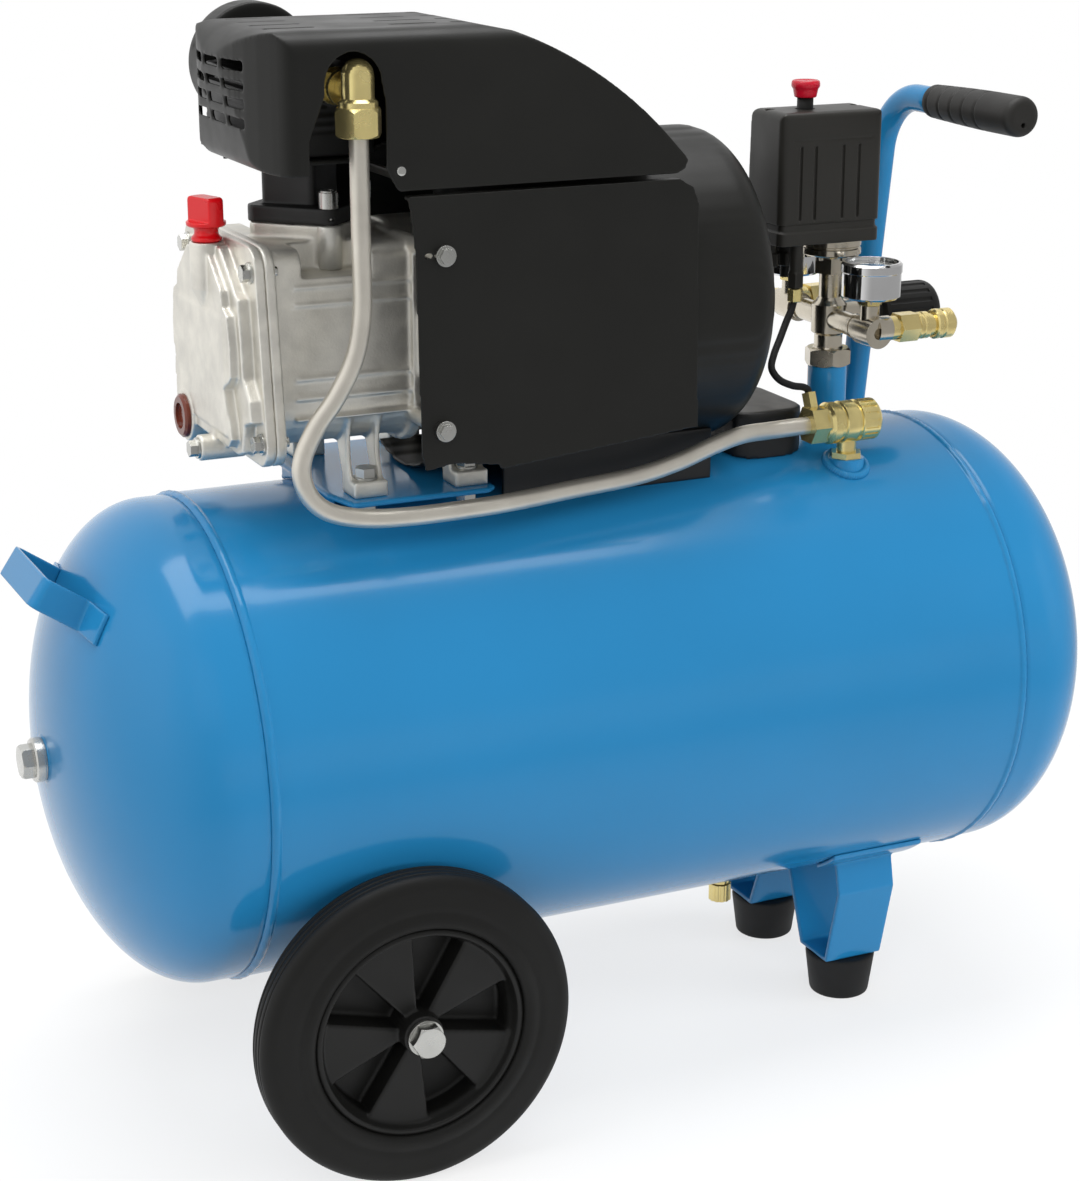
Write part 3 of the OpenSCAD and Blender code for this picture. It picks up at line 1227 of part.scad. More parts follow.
// Release collar that slides back on its coupler
module sleeve(dir) translate([0, dir * coupler_y, coupler_z]) rotate([0, 90, 0]) rotate_extrude() polygon([
    [7.4 + shaft_gap, sleeve_x0], [9, sleeve_x0], [10, sleeve_x0 + 1], [10, sleeve_x0 + 4], [9.3,
        sleeve_x0 + 4.8],
    [9.3, sleeve_x0 + 6], [10, sleeve_x0 + 6.8], [10, sleeve_x1 - 1], [9, sleeve_x1], [7.4 + shaft_gap,
        sleeve_x1]]);

module coupler_sleeve_front() color("#c8b45a") place() sleeve(-1);
module coupler_sleeve_rear() color("#c8b45a") place() sleeve(1);

module safety_valve() color("#c8b45a") place() translate([riser_x, 0, arm_z]) difference() {
    union() {
        yhex(14, safety_y, safety_y + 9);
        ycyl(6.5, safety_y + 8, safety_y + 26);
        ycyl(5, safety_y + 25, safety_y + 28);
    }
    ycyl(2 + shaft_gap, safety_y + 10, safety_y + 30);
    for (i = [0:3]) rotate([0, 90 * i + 45, 0]) translate([0, safety_y + 14, 5]) rotate([-90, 0, 0])
        cylinder(r = 1.2, h = 7);
}

module safety_ring() color("silver") place() translate([riser_x, 0, arm_z]) {
    ycyl(2, safety_y + 18, safety_y + 34);
    ycyl(4, safety_y + 28.6, safety_y + 31);
    translate([0, safety_y + 42.6, 0]) rotate_extrude() translate([10, 0]) circle(r = 1.3, $fn = 16);
}

// ---- Oil filler cap and motor lead ----

module oil_cap() color("red") place() at_crank() translate([filler_x, filler_y, case_half]) {
    rotate_extrude() polygon([[0, -16], [filler_r - 1, -16], [filler_r, -15], [filler_r, 0.4], [9.2, 0.4],
        [9.2, 2.4], [7.4, 4.2], [7.2, 6.5], [8.4, 9.5], [0, 9.5]]);
    difference() {
        rotate_extrude() polygon(concat([[0, 9], [11, 9], [12, 10], [12, 24]], arc(9.5, 24, 2.5, 0, 90, 5),
            [[0, 26.5]]));
        rotate([0, 0, 19]) for (s = [-1, 1]) translate([s * 11 - 5.5, -20, 12]) cube([11, 40, 20]);
    }
}

lead_points = [[gland_x, 10, switch_z - 18.2], [gland_x, 10.2, switch_z - 24], [149.5, 14, switch_z - 33], [144, 22, switch_z - 46],
    [132, 38, switch_z - 62], [114, 56, crank_z - 41], [96, 74, crank_z - 46], [80, 88, crank_z - 47],
    [68, 95, crank_z - 45], [60, 92, crank_z - 41], [54, 86, crank_z - 38]];

module motor_cable() color("#1c1c1c") place() {
    difference() {
        pipe(smooth(lead_points, 3), 3.6, 12, [0, 0, 1]);
        translate([0, 0, shroud_z]) xcyl(shroud_r, 0, shroud_x1);
    }
    translate([gland_x + 14, 10, switch_z - 26]) cylinder(r = 3.6, h = 8);
}

tank_shell();
tank_dome_left();
tank_dome_right();
riser_pipe();
end_plug();
carry_bracket();
handle_tube();
handle_grip();
pump_saddle();
wheel_bracket();
chassis_bolts();
foot_bracket();
rubber_feet();
drain_valve_body();
crankcase();
crankcase_cover();
pump_bolts();
sight_glass();
cylinder_liner();
valve_plate();
cylinder_head();
air_filter();
top_cowl();
motor_shroud();
side_panel();
motor_stator();
motor_end_bell();
bearings();
capacitor();
mount_bolts();
rear_mount();
discharge_elbow();
discharge_tube();
check_valve();
relief_tube();
motor_cable();
switch_base();
switch_cover();
manifold();
gauge_cases();
gauge_lenses();
coupler_bodies();
safety_valve();
safety_ring();
oil_cap();
switch_knob();
regulator_knob();
coupler_sleeve_front();
coupler_sleeve_rear();
gauge_needle_front();
gauge_needle_rear();
drain_knob();
front_tyre();
front_rim();
rear_tyre();
rear_rim();
crankshaft();
cooling_fan();
piston();
connecting_rod();
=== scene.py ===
import json
import math

import bmesh
import bpy
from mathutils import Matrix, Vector

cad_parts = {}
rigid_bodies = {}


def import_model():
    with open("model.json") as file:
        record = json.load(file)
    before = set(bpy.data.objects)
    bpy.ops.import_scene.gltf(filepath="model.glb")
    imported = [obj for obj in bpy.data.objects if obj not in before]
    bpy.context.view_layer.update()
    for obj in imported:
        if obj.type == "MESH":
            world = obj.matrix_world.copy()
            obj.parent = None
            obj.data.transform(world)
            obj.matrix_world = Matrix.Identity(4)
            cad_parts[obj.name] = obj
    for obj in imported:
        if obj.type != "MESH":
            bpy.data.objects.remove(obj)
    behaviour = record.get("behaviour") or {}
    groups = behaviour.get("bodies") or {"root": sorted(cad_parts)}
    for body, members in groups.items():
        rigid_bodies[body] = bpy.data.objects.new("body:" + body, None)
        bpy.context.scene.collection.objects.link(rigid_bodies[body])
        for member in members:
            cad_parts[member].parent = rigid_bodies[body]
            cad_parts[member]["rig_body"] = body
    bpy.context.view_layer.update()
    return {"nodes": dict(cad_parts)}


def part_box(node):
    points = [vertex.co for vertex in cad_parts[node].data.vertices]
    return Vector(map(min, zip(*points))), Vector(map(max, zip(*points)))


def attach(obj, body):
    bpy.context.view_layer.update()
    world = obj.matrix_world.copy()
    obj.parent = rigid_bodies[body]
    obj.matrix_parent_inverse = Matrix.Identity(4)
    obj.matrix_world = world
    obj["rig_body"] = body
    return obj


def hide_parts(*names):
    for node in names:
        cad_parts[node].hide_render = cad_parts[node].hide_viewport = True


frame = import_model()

# Unless a comment says otherwise, lengths are millimetres in the tank's frame: x from the
# tank's middle, which stands a little beside the row's origin, y across it, z up from the floor.
MM = 0.001
FULL_TURN = 2 * math.pi
nodes = frame["nodes"]
scene = bpy.context.scene


def box_mm(node):
    """Lowest and highest corner of a node at rest, in mm and in the row's frame."""
    return [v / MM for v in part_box(node)]


shell_lo, shell_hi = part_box("tank_shell")
SHIFT = (shell_lo[0] + shell_hi[0]) / 2 / MM


def P(x, y, z):
    """A point of the tank's frame, in metres and in the row's frame."""
    return Vector(((x + SHIFT) * MM, y * MM, z * MM))


def srgb(r, g, b):
    """Linear colour of an sRGB colour given as 0 to 255."""
    def one(v):
        v /= 255
        return v / 12.92 if v <= 0.04045 else ((v + 0.055) / 1.055) ** 2.4
    return (one(r), one(g), one(b), 1.0)


# ---- Camera ----

# Fitted to the photograph, whose frame is 1181 pixels high
PHOTO_HEIGHT, FOCAL_PIXELS = 1181, 2501
SENSOR = 36
AZIMUTH, ELEVATION = math.radians(-24.80), math.radians(17.48)

cam_data = bpy.data.cameras.new("camera")
cam_data.lens = FOCAL_PIXELS * SENSOR / PHOTO_HEIGHT
cam_data.sensor_width = SENSOR
cam_data.clip_end = 50
cam = bpy.data.objects.new("camera", cam_data)
towards_camera = Vector((math.sin(AZIMUTH) * math.cos(ELEVATION),
                         -math.cos(AZIMUTH) * math.cos(ELEVATION), math.sin(ELEVATION)))
cam.location = P(-687.88, -1442.84, 811.34)
cam.rotation_euler = towards_camera.to_track_quat("Z", "Y").to_euler()
scene.collection.objects.link(cam)
scene.camera = cam
scene.view_settings.view_transform = "Standard"

# ---- Materials ----

# Noise gathers round its middle, so a colour or roughness runs over this part of its range
NOISE_LOW, NOISE_HIGH = 0.3, 0.7
# Range of Geometry's Pointiness over which an edge turns worn
WORN_FROM, WORN_TO = 0.52, 0.58


class Mat:
    """A node material with a Principled shader and a few procedural layers."""

    def __init__(self, name):
        self.m = bpy.data.materials.new(name)
        self.m.use_nodes = True
        self.tree = self.m.node_tree
        self.tree.nodes.clear()
        self.out = self.add("ShaderNodeOutputMaterial")
        self.shader = self.add("ShaderNodeBsdfPrincipled")
        self.link(self.shader.outputs[0], self.out.inputs[0])
        self.coord = self.add("ShaderNodeTexCoord").outputs["Object"]
        self.normal = None

    def add(self, kind, **props):
        n = self.tree.nodes.new(kind)
        for k, v in props.items():
            setattr(n, k, v)
        return n

    def link(self, a, b):
        self.tree.links.new(a, b)

    def set(self, **values):
        """Values that are the same all over, on the shader's own sockets."""
        for k, v in values.items():
            self.shader.inputs[k.replace("_", " ")].default_value = v

    def noise(self, scale, detail=3.0):
        n = self.add("ShaderNodeTexNoise")
        n.inputs["Scale"].default_value = scale
        n.inputs["Detail"].default_value = detail
        self.link(self.coord, n.inputs["Vector"])
        return n.outputs["Fac"]

    def ramp(self, fac, dark, light):
        """Runs from the dark to the light colour as the noise grows."""
        r = self.add("ShaderNodeValToRGB")
        for stop, place, colour in zip(r.color_ramp.elements, (NOISE_LOW, NOISE_HIGH), (dark, light)):
            stop.position = place
            stop.color = colour
        self.link(fac, r.inputs[0])
        return r.outputs[0]

    def span(self, fac, to_min, to_max, from_min=NOISE_LOW, from_max=NOISE_HIGH):
        """Runs from to_min to to_max as fac runs from from_min to from_max."""
        r = self.add("ShaderNodeMapRange")
        for key, v in (("From Min", from_min), ("From Max", from_max),
                       ("To Min", to_min), ("To Max", to_max)):
            r.inputs[key].default_value = v
        self.link(fac, r.inputs["Value"])
        return r.outputs[0]

    def colour(self, base, scale, amount, worn=None):
        """Base colour that wanders by amount either way, and turns to worn on outer edges."""
        dark = tuple(c * (1 - amount) for c in base[:3]) + (1.0,)
        light = tuple(min(1.0, c * (1 + amount)) for c in base[:3]) + (1.0,)
        shade = self.ramp(self.noise(scale), dark, light)
        if worn:
            edge = self.add("ShaderNodeNewGeometry").outputs["Pointiness"]
            mix = self.add("ShaderNodeMix", data_type="RGBA")
            self.link(self.span(edge, 0.0, 1.0, WORN_FROM, WORN_TO), mix.inputs[0])
            self.link(shade, mix.inputs[6])
            mix.inputs[7].default_value = worn
            shade = mix.outputs[2]
        self.link(shade, self.shader.inputs["Base Color"])

    def rough(self, lo, hi, scale):
        self.link(self.span(self.noise(scale), lo, hi), self.shader.inputs["Roughness"])

    def bump(self, height, distance, strength):
        b = self.add("ShaderNodeBump")
        b.inputs["Distance"].default_value = distance
        b.inputs["Strength"].default_value = strength
        self.link(height, b.inputs["Height"])
        if self.normal is not None:
            self.link(self.normal, b.inputs["Normal"])
        self.normal = b.outputs[0]
        self.link(self.normal, self.shader.inputs["Normal"])

    def edges(self, radius):
        """Shades edges as if rounded, by a radius in metres."""
        b = self.add("ShaderNodeBevel", samples=4)
        b.inputs["Radius"].default_value = radius
        self.normal = b.outputs[0]
        self.link(self.normal, self.shader.inputs["Normal"])


def paint(name, base, radius=0.0008):
    """Gloss paint with a faint peel and the slow waves of the sheet under it."""
    m = Mat(name)
    if radius:
        m.edges(radius)
    m.colour(base, scale=6.0, amount=0.04)
    m.rough(0.13, 0.2, scale=9.0)
    m.bump(m.noise(260.0, 2.0), distance=0.00003, strength=0.3)
    m.bump(m.noise(14.0, 1.0), distance=0.0006, strength=0.25)
    m.set(Coat_Weight=0.12, Coat_Roughness=0.06, Specular_IOR_Level=0.3)
    return m.m


def plastic(name, base, lo, hi, grain=900.0, depth=0.00006, radius=0.0008, worn=None, spec=0.5):
    """Moulded plastic or rubber: roughness from lo to hi, over a grain of the given depth in metres."""
    m = Mat(name)
    if radius:
        m.edges(radius)
    m.colour(base, scale=14.0, amount=0.12, worn=worn)
    m.rough(lo, hi, scale=30.0)
    m.bump(m.noise(grain, 2.0), depth, strength=0.5)
    m.set(Specular_IOR_Level=spec)
    return m.m


def metal(name, base, lo, hi, amount=0.06, grain=700.0, depth=0.00001, radius=0.0005, metallic=1.0,
          worn=None, scale=40.0):
    """Metal whose colour wanders by amount: roughness from lo to hi, over a grain of the given depth."""
    m = Mat(name)
    if radius:
        m.edges(radius)
    m.colour(base, scale, amount, worn=worn)
    m.rough(lo, hi, scale=60.0)
    m.bump(m.noise(grain), depth, strength=0.5)
    m.set(Metallic=metallic)
    return m.m


def glass(name):
    m = Mat(name)
    m.colour((0.95, 0.97, 0.98, 1.0), scale=30.0, amount=0.02)
    m.rough(0.02, 0.05, scale=50.0)
    m.set(Transmission_Weight=1.0, IOR=1.46)
    return m.m


PAINT = srgb(32, 117, 167)
BLUE = paint("blue_paint", PAINT)
TANK = paint("tank_paint", PAINT, radius=0)
BLACK = plastic("black_plastic", srgb(19, 19, 18), 0.4, 0.52, spec=0.3)
COWL = plastic("cowl_plastic", srgb(20, 20, 18), 0.36, 0.48, grain=1200.0, depth=0.00005, radius=0, spec=0.3)
SWITCH = plastic("switch_plastic", srgb(32, 31, 28), 0.36, 0.48, radius=0, worn=srgb(58, 56, 52), spec=0.4)
RUBBER = plastic("rubber", srgb(20, 20, 20), 0.55, 0.7, grain=500.0, depth=0.0001, spec=0.35)
GRIP = plastic("grip_rubber", srgb(27, 26, 24), 0.5, 0.62, grain=700.0, depth=0.00015, spec=0.4)
TYRE = plastic("tyre_rubber", srgb(17, 17, 16), 0.5, 0.62, grain=260.0, depth=0.0001, radius=0, spec=0.25)
RIM = plastic("rim_plastic", srgb(18, 18, 17), 0.36, 0.5, radius=0, spec=0.3)
CAST = metal("cast_aluminium", srgb(222, 219, 210), 0.38, 0.54, amount=0.12, grain=650.0, depth=0.00035,
             radius=0, worn=srgb(240, 239, 233), metallic=0.82, scale=60.0)
PIPE = metal("drawn_aluminium", srgb(216, 211, 200), 0.34, 0.46, grain=500.0, depth=0.00004, radius=0,
             metallic=0.85)
ZINC = metal("zinc_steel", srgb(200, 200, 196), 0.2, 0.34, amount=0.1)
YELLOW = metal("yellow_zinc", srgb(238, 220, 152), 0.16, 0.3, amount=0.16, metallic=0.9, radius=0.0002)
BRASS = metal("brass", srgb(236, 216, 150), 0.18, 0.32, amount=0.14, metallic=0.9, radius=0.0002)
NICKEL = metal("nickel", srgb(206, 198, 182), 0.16, 0.3, amount=0.14, radius=0.0002)
CHROME = metal("chrome", srgb(225, 225, 225), 0.05, 0.1, amount=0.03)
STEEL = metal("ground_steel", srgb(170, 170, 170), 0.25, 0.35)
IRON = metal("iron", srgb(110, 110, 110), 0.4, 0.55)
DARK = metal("black_steel", srgb(26, 26, 26), 0.4, 0.5, metallic=0.1)
RED = plastic("red_plastic", srgb(200, 10, 20), 0.22, 0.32, grain=600.0, depth=0.00003)
CRIMSON = plastic("crimson_plastic", srgb(168, 8, 34), 0.2, 0.3, grain=600.0, depth=0.00003)
WHITE = plastic("white_plastic", srgb(235, 232, 222), 0.3, 0.4)
SIGHT = plastic("sight_glass", srgb(104, 46, 30), 0.08, 0.16, grain=300.0)
INK = plastic("dial_ink", srgb(20, 20, 20), 0.5, 0.6, radius=0)
LENS = glass("lens")

LOOKS = {
    BLUE: "riser_pipe carry_bracket handle_tube pump_saddle wheel_bracket foot_bracket",
    TANK: "tank_shell tank_dome_left tank_dome_right",
    ZINC: "end_plug chassis_bolts pump_bolts mount_bolts",
    RUBBER: "rubber_feet relief_tube motor_cable",
    GRIP: "handle_grip",
    TYRE: "front_tyre rear_tyre",
    RIM: "front_rim rear_rim",
    COWL: "top_cowl motor_shroud side_panel air_filter",
    BLACK: "cooling_fan regulator_knob",
    SWITCH: "switch_base switch_cover",
    CAST: "crankcase crankcase_cover motor_end_bell piston",
    BRASS: "drain_valve_body drain_knob coupler_sleeve_front coupler_sleeve_rear safety_valve coupler_bodies",
    YELLOW: "discharge_elbow check_valve",
    SIGHT: "sight_glass",
    IRON: "cylinder_liner connecting_rod",
    DARK: "cylinder_head valve_plate rear_mount gauge_needle_front gauge_needle_rear",
    STEEL: "motor_stator bearings crankshaft",
    WHITE: "capacitor",
    PIPE: "discharge_tube",
    NICKEL: "manifold safety_ring",
    CHROME: "gauge_cases",
    LENS: "gauge_lenses",
    RED: "oil_cap",
    CRIMSON: "switch_knob",
}
for mat, names in LOOKS.items():
    for name in names.split():
        nodes[name].data.materials.clear()
        nodes[name].data.materials.append(mat)

# ---- Ways to make a piece ----

# A profile that meets its axis stops this far from it, so that every face there has an area
AT_AXIS = 0.01
UP = (0, 0, 1)


def add_piece(name, mesh, mat, node, stands_in=False):
    """A new object that rides with the node's body, or stands in for the node."""
    o = bpy.data.objects.new(name, mesh)
    scene.collection.objects.link(o)
    mesh.materials.append(mat)
    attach(o, nodes[node]["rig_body"])
    if stands_in:
        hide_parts(node)


def mesh_from(name, verts, faces, smooth=True):
    me = bpy.data.meshes.new(name)
    me.from_pydata([tuple(v) for v in verts], [], faces)
    bm = bmesh.new()
    bm.from_mesh(me)
    bmesh.ops.recalc_face_normals(bm, faces=bm.faces)
    bm.to_mesh(me)
    bm.free()
    if smooth:
        me.polygons.foreach_set("use_smooth", [True] * len(me.polygons))
    me.update()
    return me


def join_mesh(name, parts):
    """One mesh from several."""
    bm = bmesh.new()
    for me in parts:
        bm.from_mesh(me)
    out = bpy.data.meshes.new(name)
    bm.to_mesh(out)
    bm.free()
    out.update()
    return out


def lathe(name, profile, origin, axis, n, wobble=None, closed=False, smooth=True):
    """Turns profile points (radius, along) in n steps round an axis through origin.

    wobble(k, a) is added to the radius of point k at angle a. A closed profile's last point
    joins its first.
    """
    axis = Vector(axis).normalized()
    u = axis.orthogonal().normalized()
    v = axis.cross(u)
    centre = P(*origin)
    verts, faces = [], []
    for i in range(n):
        a = FULL_TURN * i / n
        outward = u * math.cos(a) + v * math.sin(a)
        for k, (r, along) in enumerate(profile):
            if wobble:
                r += wobble(k, a)
            verts.append(centre + (axis * along + outward * r) * MM)
    m = len(profile)
    for i in range(n):
        j = (i + 1) % n
        for k in range(m if closed else m - 1):
            k2 = (k + 1) % m
            faces.append((i * m + k, j * m + k, j * m + k2, i * m + k2))
    return mesh_from(name, verts, faces, smooth)


def hexagon(name, across, z0, z1, x, y):
    """Upright six-sided nut with a small chamfer, by its width across flats."""
    r, chamfer = across / math.sqrt(3), 0.6
    profile = [(AT_AXIS, z0), (r - chamfer, z0), (r, z0 + chamfer), (r, z1 - chamfer), (r - chamfer, z1),
               (AT_AXIS, z1)]
    return lathe(name, profile, (x, y, 0), UP, 6, closed=True, smooth=False)


def spline(points, steps):
    """Smooth curve through the points, with the given number of steps between two of them."""
    out = []
    p = [Vector(q) for q in points]
    for i in range(len(p) - 1):
        a, b, c, d = p[max(0, i - 1)], p[i], p[i + 1], p[min(len(p) - 1, i + 2)]
        for k in range(steps):
            t = k / steps
            out.append(b + (c - a) * (t / 2) + (a * 2 - b * 5 + c * 4 - d) * (t * t / 2)
                       + (b * 3 - a - c * 3 + d) * (t ** 3 / 2))
    out.append(p[-1])
    return out


def sweep(name, path, radius, n, wobble=None):
    """Round bar with n sides along a path of points; wobble(i, a) is added to its radius."""
    pts = [P(*q) for q in path]
    last = len(pts) - 1
    verts, faces = [], []
    side = None
    for i, q in enumerate(pts):
        t = (pts[min(i + 1, last)] - pts[max(i - 1, 0)]).normalized()
        side = (side - t * side.dot(t)).normalized() if side else t.orthogonal().normalized()
        w = t.cross(side)
        for k in range(n):
            a = FULL_TURN * k / n
            r = radius + wobble(i, a) if wobble else radius
            verts.append(q + (side * math.cos(a) + w * math.sin(a)) * r * MM)
    for i in range(last):
        for k in range(n):
            k2 = (k + 1) % n
            faces.append((i * n + k, i * n + k2, (i + 1) * n + k2, (i + 1) * n + k))
    faces.append(tuple(range(n)))
    faces.append(tuple(last * n + k for k in range(n)))
    return mesh_from(name, verts, faces)


def weld_bead(name, path, r):
    """A laid weld: a low rippled bar along a path."""
    step, pitch, depth = 0.65, 2.6, 0.28
    pts = [Vector(q) for q in path]
    out = [pts[0]]
    for a, b in zip(pts, pts[1:]):
        count = max(2, int((b - a).length / step))
        out += [a + (b - a) * (k / count) for k in range(1, count + 1)]

    def scales(i, a):
        return depth * math.sin(FULL_TURN * i * step / pitch) * max(0.0, math.sin(a) + 0.6)
    return sweep(name, out, r, 10, wobble=scales)


def soften(name, voxel, rounds):
    """Rounds a node's edges the way a casting or moulding has them, with a voxel size in mm."""
    o = nodes[name]
    weld = o.modifiers.new("weld", "WELD")
    weld.merge_threshold = 1e-5
    skin = o.modifiers.new("skin", "REMESH")
    skin.mode = "VOXEL"
    skin.voxel_size = voxel * MM
    skin.use_smooth_shade = True
    ease = o.modifiers.new("ease", "SMOOTH")
    ease.factor = 0.5
    ease.iterations = rounds


# ---- Cast, moulded and pressed parts ----

for name, voxel, rounds in (
        ("crankcase", 1.3, 3), ("crankcase_cover", 0.9, 5), ("cylinder_head", 1.3, 3),
        ("valve_plate", 0.9, 3), ("top_cowl", 1.25, 3), ("motor_shroud", 2.5, 5), ("side_panel", 1.0, 3),
        ("air_filter", 1.2, 3), ("switch_base", 0.7, 3), ("switch_cover", 0.7, 3), ("carry_bracket", 0.8, 3),
        ("pump_saddle", 1.3, 3), ("wheel_bracket", 1.3, 4), ("foot_bracket", 1.1, 4), ("rubber_feet", 1.0, 4),
        ("oil_cap", 0.5, 4), ("rear_mount", 1.5, 3), ("handle_grip", 0.7, 3), ("front_rim", 1.1, 3),
        ("rear_rim", 1.1, 3)):
    soften(name, voxel, rounds)

# ---- Sizes and places that part.scad gives ----

tank_r = 155.0
tank_wall = 2.5
seam_x = 264.5
skirt_l = 15.0
dome_h = 81.0
bead_r = 3.2
axis_z = 246.3
top_z = axis_z + tank_r
bottom_z = axis_z - tank_r
riser_x = 195.5
drain_x = 121
valve_x, valve_y, valve_z = 177.0, -58.0, top_z + 18.2
deck_z = top_z + 6.7
crank_z = deck_z + 92
cowl_bottom, cowl_h = crank_z + 98, 92
roof_z = cowl_bottom + cowl_h
elbow_x, elbow_y, elbow_z = -178.5, -94, roof_z - 25.7
nut_z = elbow_z - 18.3
stud_x, stud_y = -176.0, -34.0
arm_z = top_z + 76.2
gauge_y, gauge_z = 51.5, arm_z + 22.5
switch_z = arm_z + 54.5
relief_x, relief_y = 160, -14
plate_z0 = box_mm("valve_plate")[0].z
cowl_z0 = box_mm("top_cowl")[0].z


def tank_height(y):
    """Height of the tank's upper side at y."""
    return axis_z + math.sqrt(tank_r ** 2 - y * y)


# ---- Tank ----

end_r = tank_r - 0.8  # the ends slip into the shell


def ripple(a):
    """Scale marks that a weld bead keeps, round the tank."""
    return 0.22 * math.sin(a * 190) + 0.12 * math.sin(a * 71 + 1.3)


def ring(cx, cy, rx, ry, steps, height):
    """Closed path round (cx, cy), at the height that the function gives for y."""
    pts = []
    for i in range(steps + 1):
        a = FULL_TURN * i / steps
        x, y = cx + rx * math.cos(a), cy + ry * math.sin(a)
        pts.append((x, y, height(y)))
    return pts


def shell_profile():
    """The shell's outer side from the left seam to the right, with both weld beads, and its inner side."""
    left, right = [], []
    for side, pts in ((-1, left), (1, right)):
        mid = side * (seam_x - bead_r)
        for b in range(40, 145, 8):
            a = math.radians(b)
            pts.append((tank_r - 2 + bead_r * math.sin(a), mid - bead_r * math.cos(a)))
    left = [(tank_r - 2.6, -seam_x), (tank_r - 0.6, -seam_x)] + left + [(tank_r, -(seam_x - bead_r) + 3.4)]
    right = [(tank_r, seam_x - bead_r - 3.4)] + right + [(tank_r - 0.6, seam_x), (tank_r - 2.6, seam_x)]
    middle = [(tank_r, x) for x in range(-250, 251, 10)]
    return left + middle + right + [(tank_r - tank_wall, seam_x), (tank_r - tank_wall, -seam_x)]


profile = shell_profile()
is_bead = [r > tank_r + 0.15 for r, along in profile]
shell_mesh = lathe("tank_barrel", profile, (0, 0, axis_z), (1, 0, 0), 384, closed=True,
                   wobble=lambda k, a: ripple(a) if is_bead[k] else 0.0)

# The valve's boss leaves the curved shell, so its bead runs where the two meet
valve_bead = ring(valve_x, valve_y, 13.0, 13.0, 120, lambda y: tank_height(y) + 0.4)
valve_boss = join_mesh("valve_boss", [
    lathe("boss", [(AT_AXIS, -40), (12, -40), (12, -0.8), (11.7, -0.2), (11, 0), (AT_AXIS, 0)],
          (valve_x, valve_y, tank_height(valve_y) + 5), UP, 72),
    weld_bead("bead", valve_bead, 3.0)])
drain_boss = lathe("boss", [(AT_AXIS, bottom_z - 5), (11.2, bottom_z - 5), (12, bottom_z - 4.2),
                            (12, bottom_z + 8)], (drain_x, 0, 0), UP, 72)
add_piece("tank_barrel", join_mesh("tank_barrel", [shell_mesh, valve_boss, drain_boss]), TANK,
          "tank_shell", stands_in=True)


def dome_profile():
    """An end of the tank: its skirt from the seam outwards, its dome and the inner side of both."""
    outer = [(end_r - 0.5, 0.0), (end_r, 0.5), (end_r, 4), (end_r, 8), (end_r, skirt_l - 2)]
    inner = []
    for i in range(61):
        a = math.radians(90 * i / 60)
        outer.append((max(AT_AXIS, end_r * math.cos(a)), skirt_l + dome_h * math.sin(a)))
        inner.append((max(AT_AXIS, (end_r - tank_wall) * math.cos(a)),
                      skirt_l + (dome_h - tank_wall) * math.sin(a)))
    return outer + inner[::-1] + [(end_r - tank_wall, 0.0)]


# The bung that the left end's plug screws into, with its weld
bung_profile = [(20, -4.4), (17.6, -2.0), (16.4, -1.1), (15.5, -0.3), (14.6, 0.0), (9, 0.0)]
bung = lathe("bung", bung_profile, (-(seam_x + skirt_l + dome_h), 0, axis_z), (-1, 0, 0), 96,
             wobble=lambda k, a: 0.18 * math.sin(a * 34) if 0 < k < 3 else 0.0)
for side, name, extra in ((-1, "dome_left", [bung]), (1, "dome_right", [])):
    dome = lathe("dome", dome_profile(), (side * seam_x, 0, axis_z), (side, 0, 0), 384, closed=True)
    add_piece(name + "_skin", join_mesh(name, [dome] + extra), TANK, "tank_" + name, stands_in=True)

# Weld round the foot of the riser
riser_bead = ring(riser_x, 0, 15.2, 15.2, 144, lambda y: top_z + 2.6 - 0.05 * abs(y))
add_piece("riser_weld", weld_bead("riser_weld", riser_bead, 2.4), BLUE, "riser_pipe")

# ---- Handle ----

handle_lean = math.radians(5.4)
handle_x, handle_y, handle_r, handle_bend = seam_x - 27.5, 35.0, 9.0, 38.0
handle_z0 = tank_height(handle_y)
handle_run = (top_z + 220.7 - handle_z0) / math.cos(handle_lean)


def lean_frame(x, y, z):
    """A point given in the leaning frame of the handle, whose origin is the tube's foot."""
    return (handle_x + x * math.cos(handle_lean) + z * math.sin(handle_lean), handle_y + y,
            handle_z0 - x * math.sin(handle_lean) + z * math.cos(handle_lean))


path = [lean_frame(0, 0, z) for z in (-14, 0, 40, 80, 120, 150, handle_run - handle_bend - 1)]
for b in range(0, 91, 3):
    a = math.radians(b)
    path.append(lean_frame(0, -handle_bend + handle_bend * math.cos(a),
                           handle_run - handle_bend + handle_bend * math.sin(a)))
path += [lean_frame(0, -handle_bend - past, handle_run) for past in (12, 30)]
add_piece("handle_bar", sweep("handle_bar", path, handle_r, 64), BLUE, "handle_tube", stands_in=True)
handle_bead = ring(handle_x, handle_y, 10, 9.6, 120, lambda y: tank_height(y) + 0.6)
add_piece("handle_weld", weld_bead("handle_weld", handle_bead, 2.2), BLUE, "handle_tube")

# ---- Delivery pipe and relief tube, on part.scad's points ----

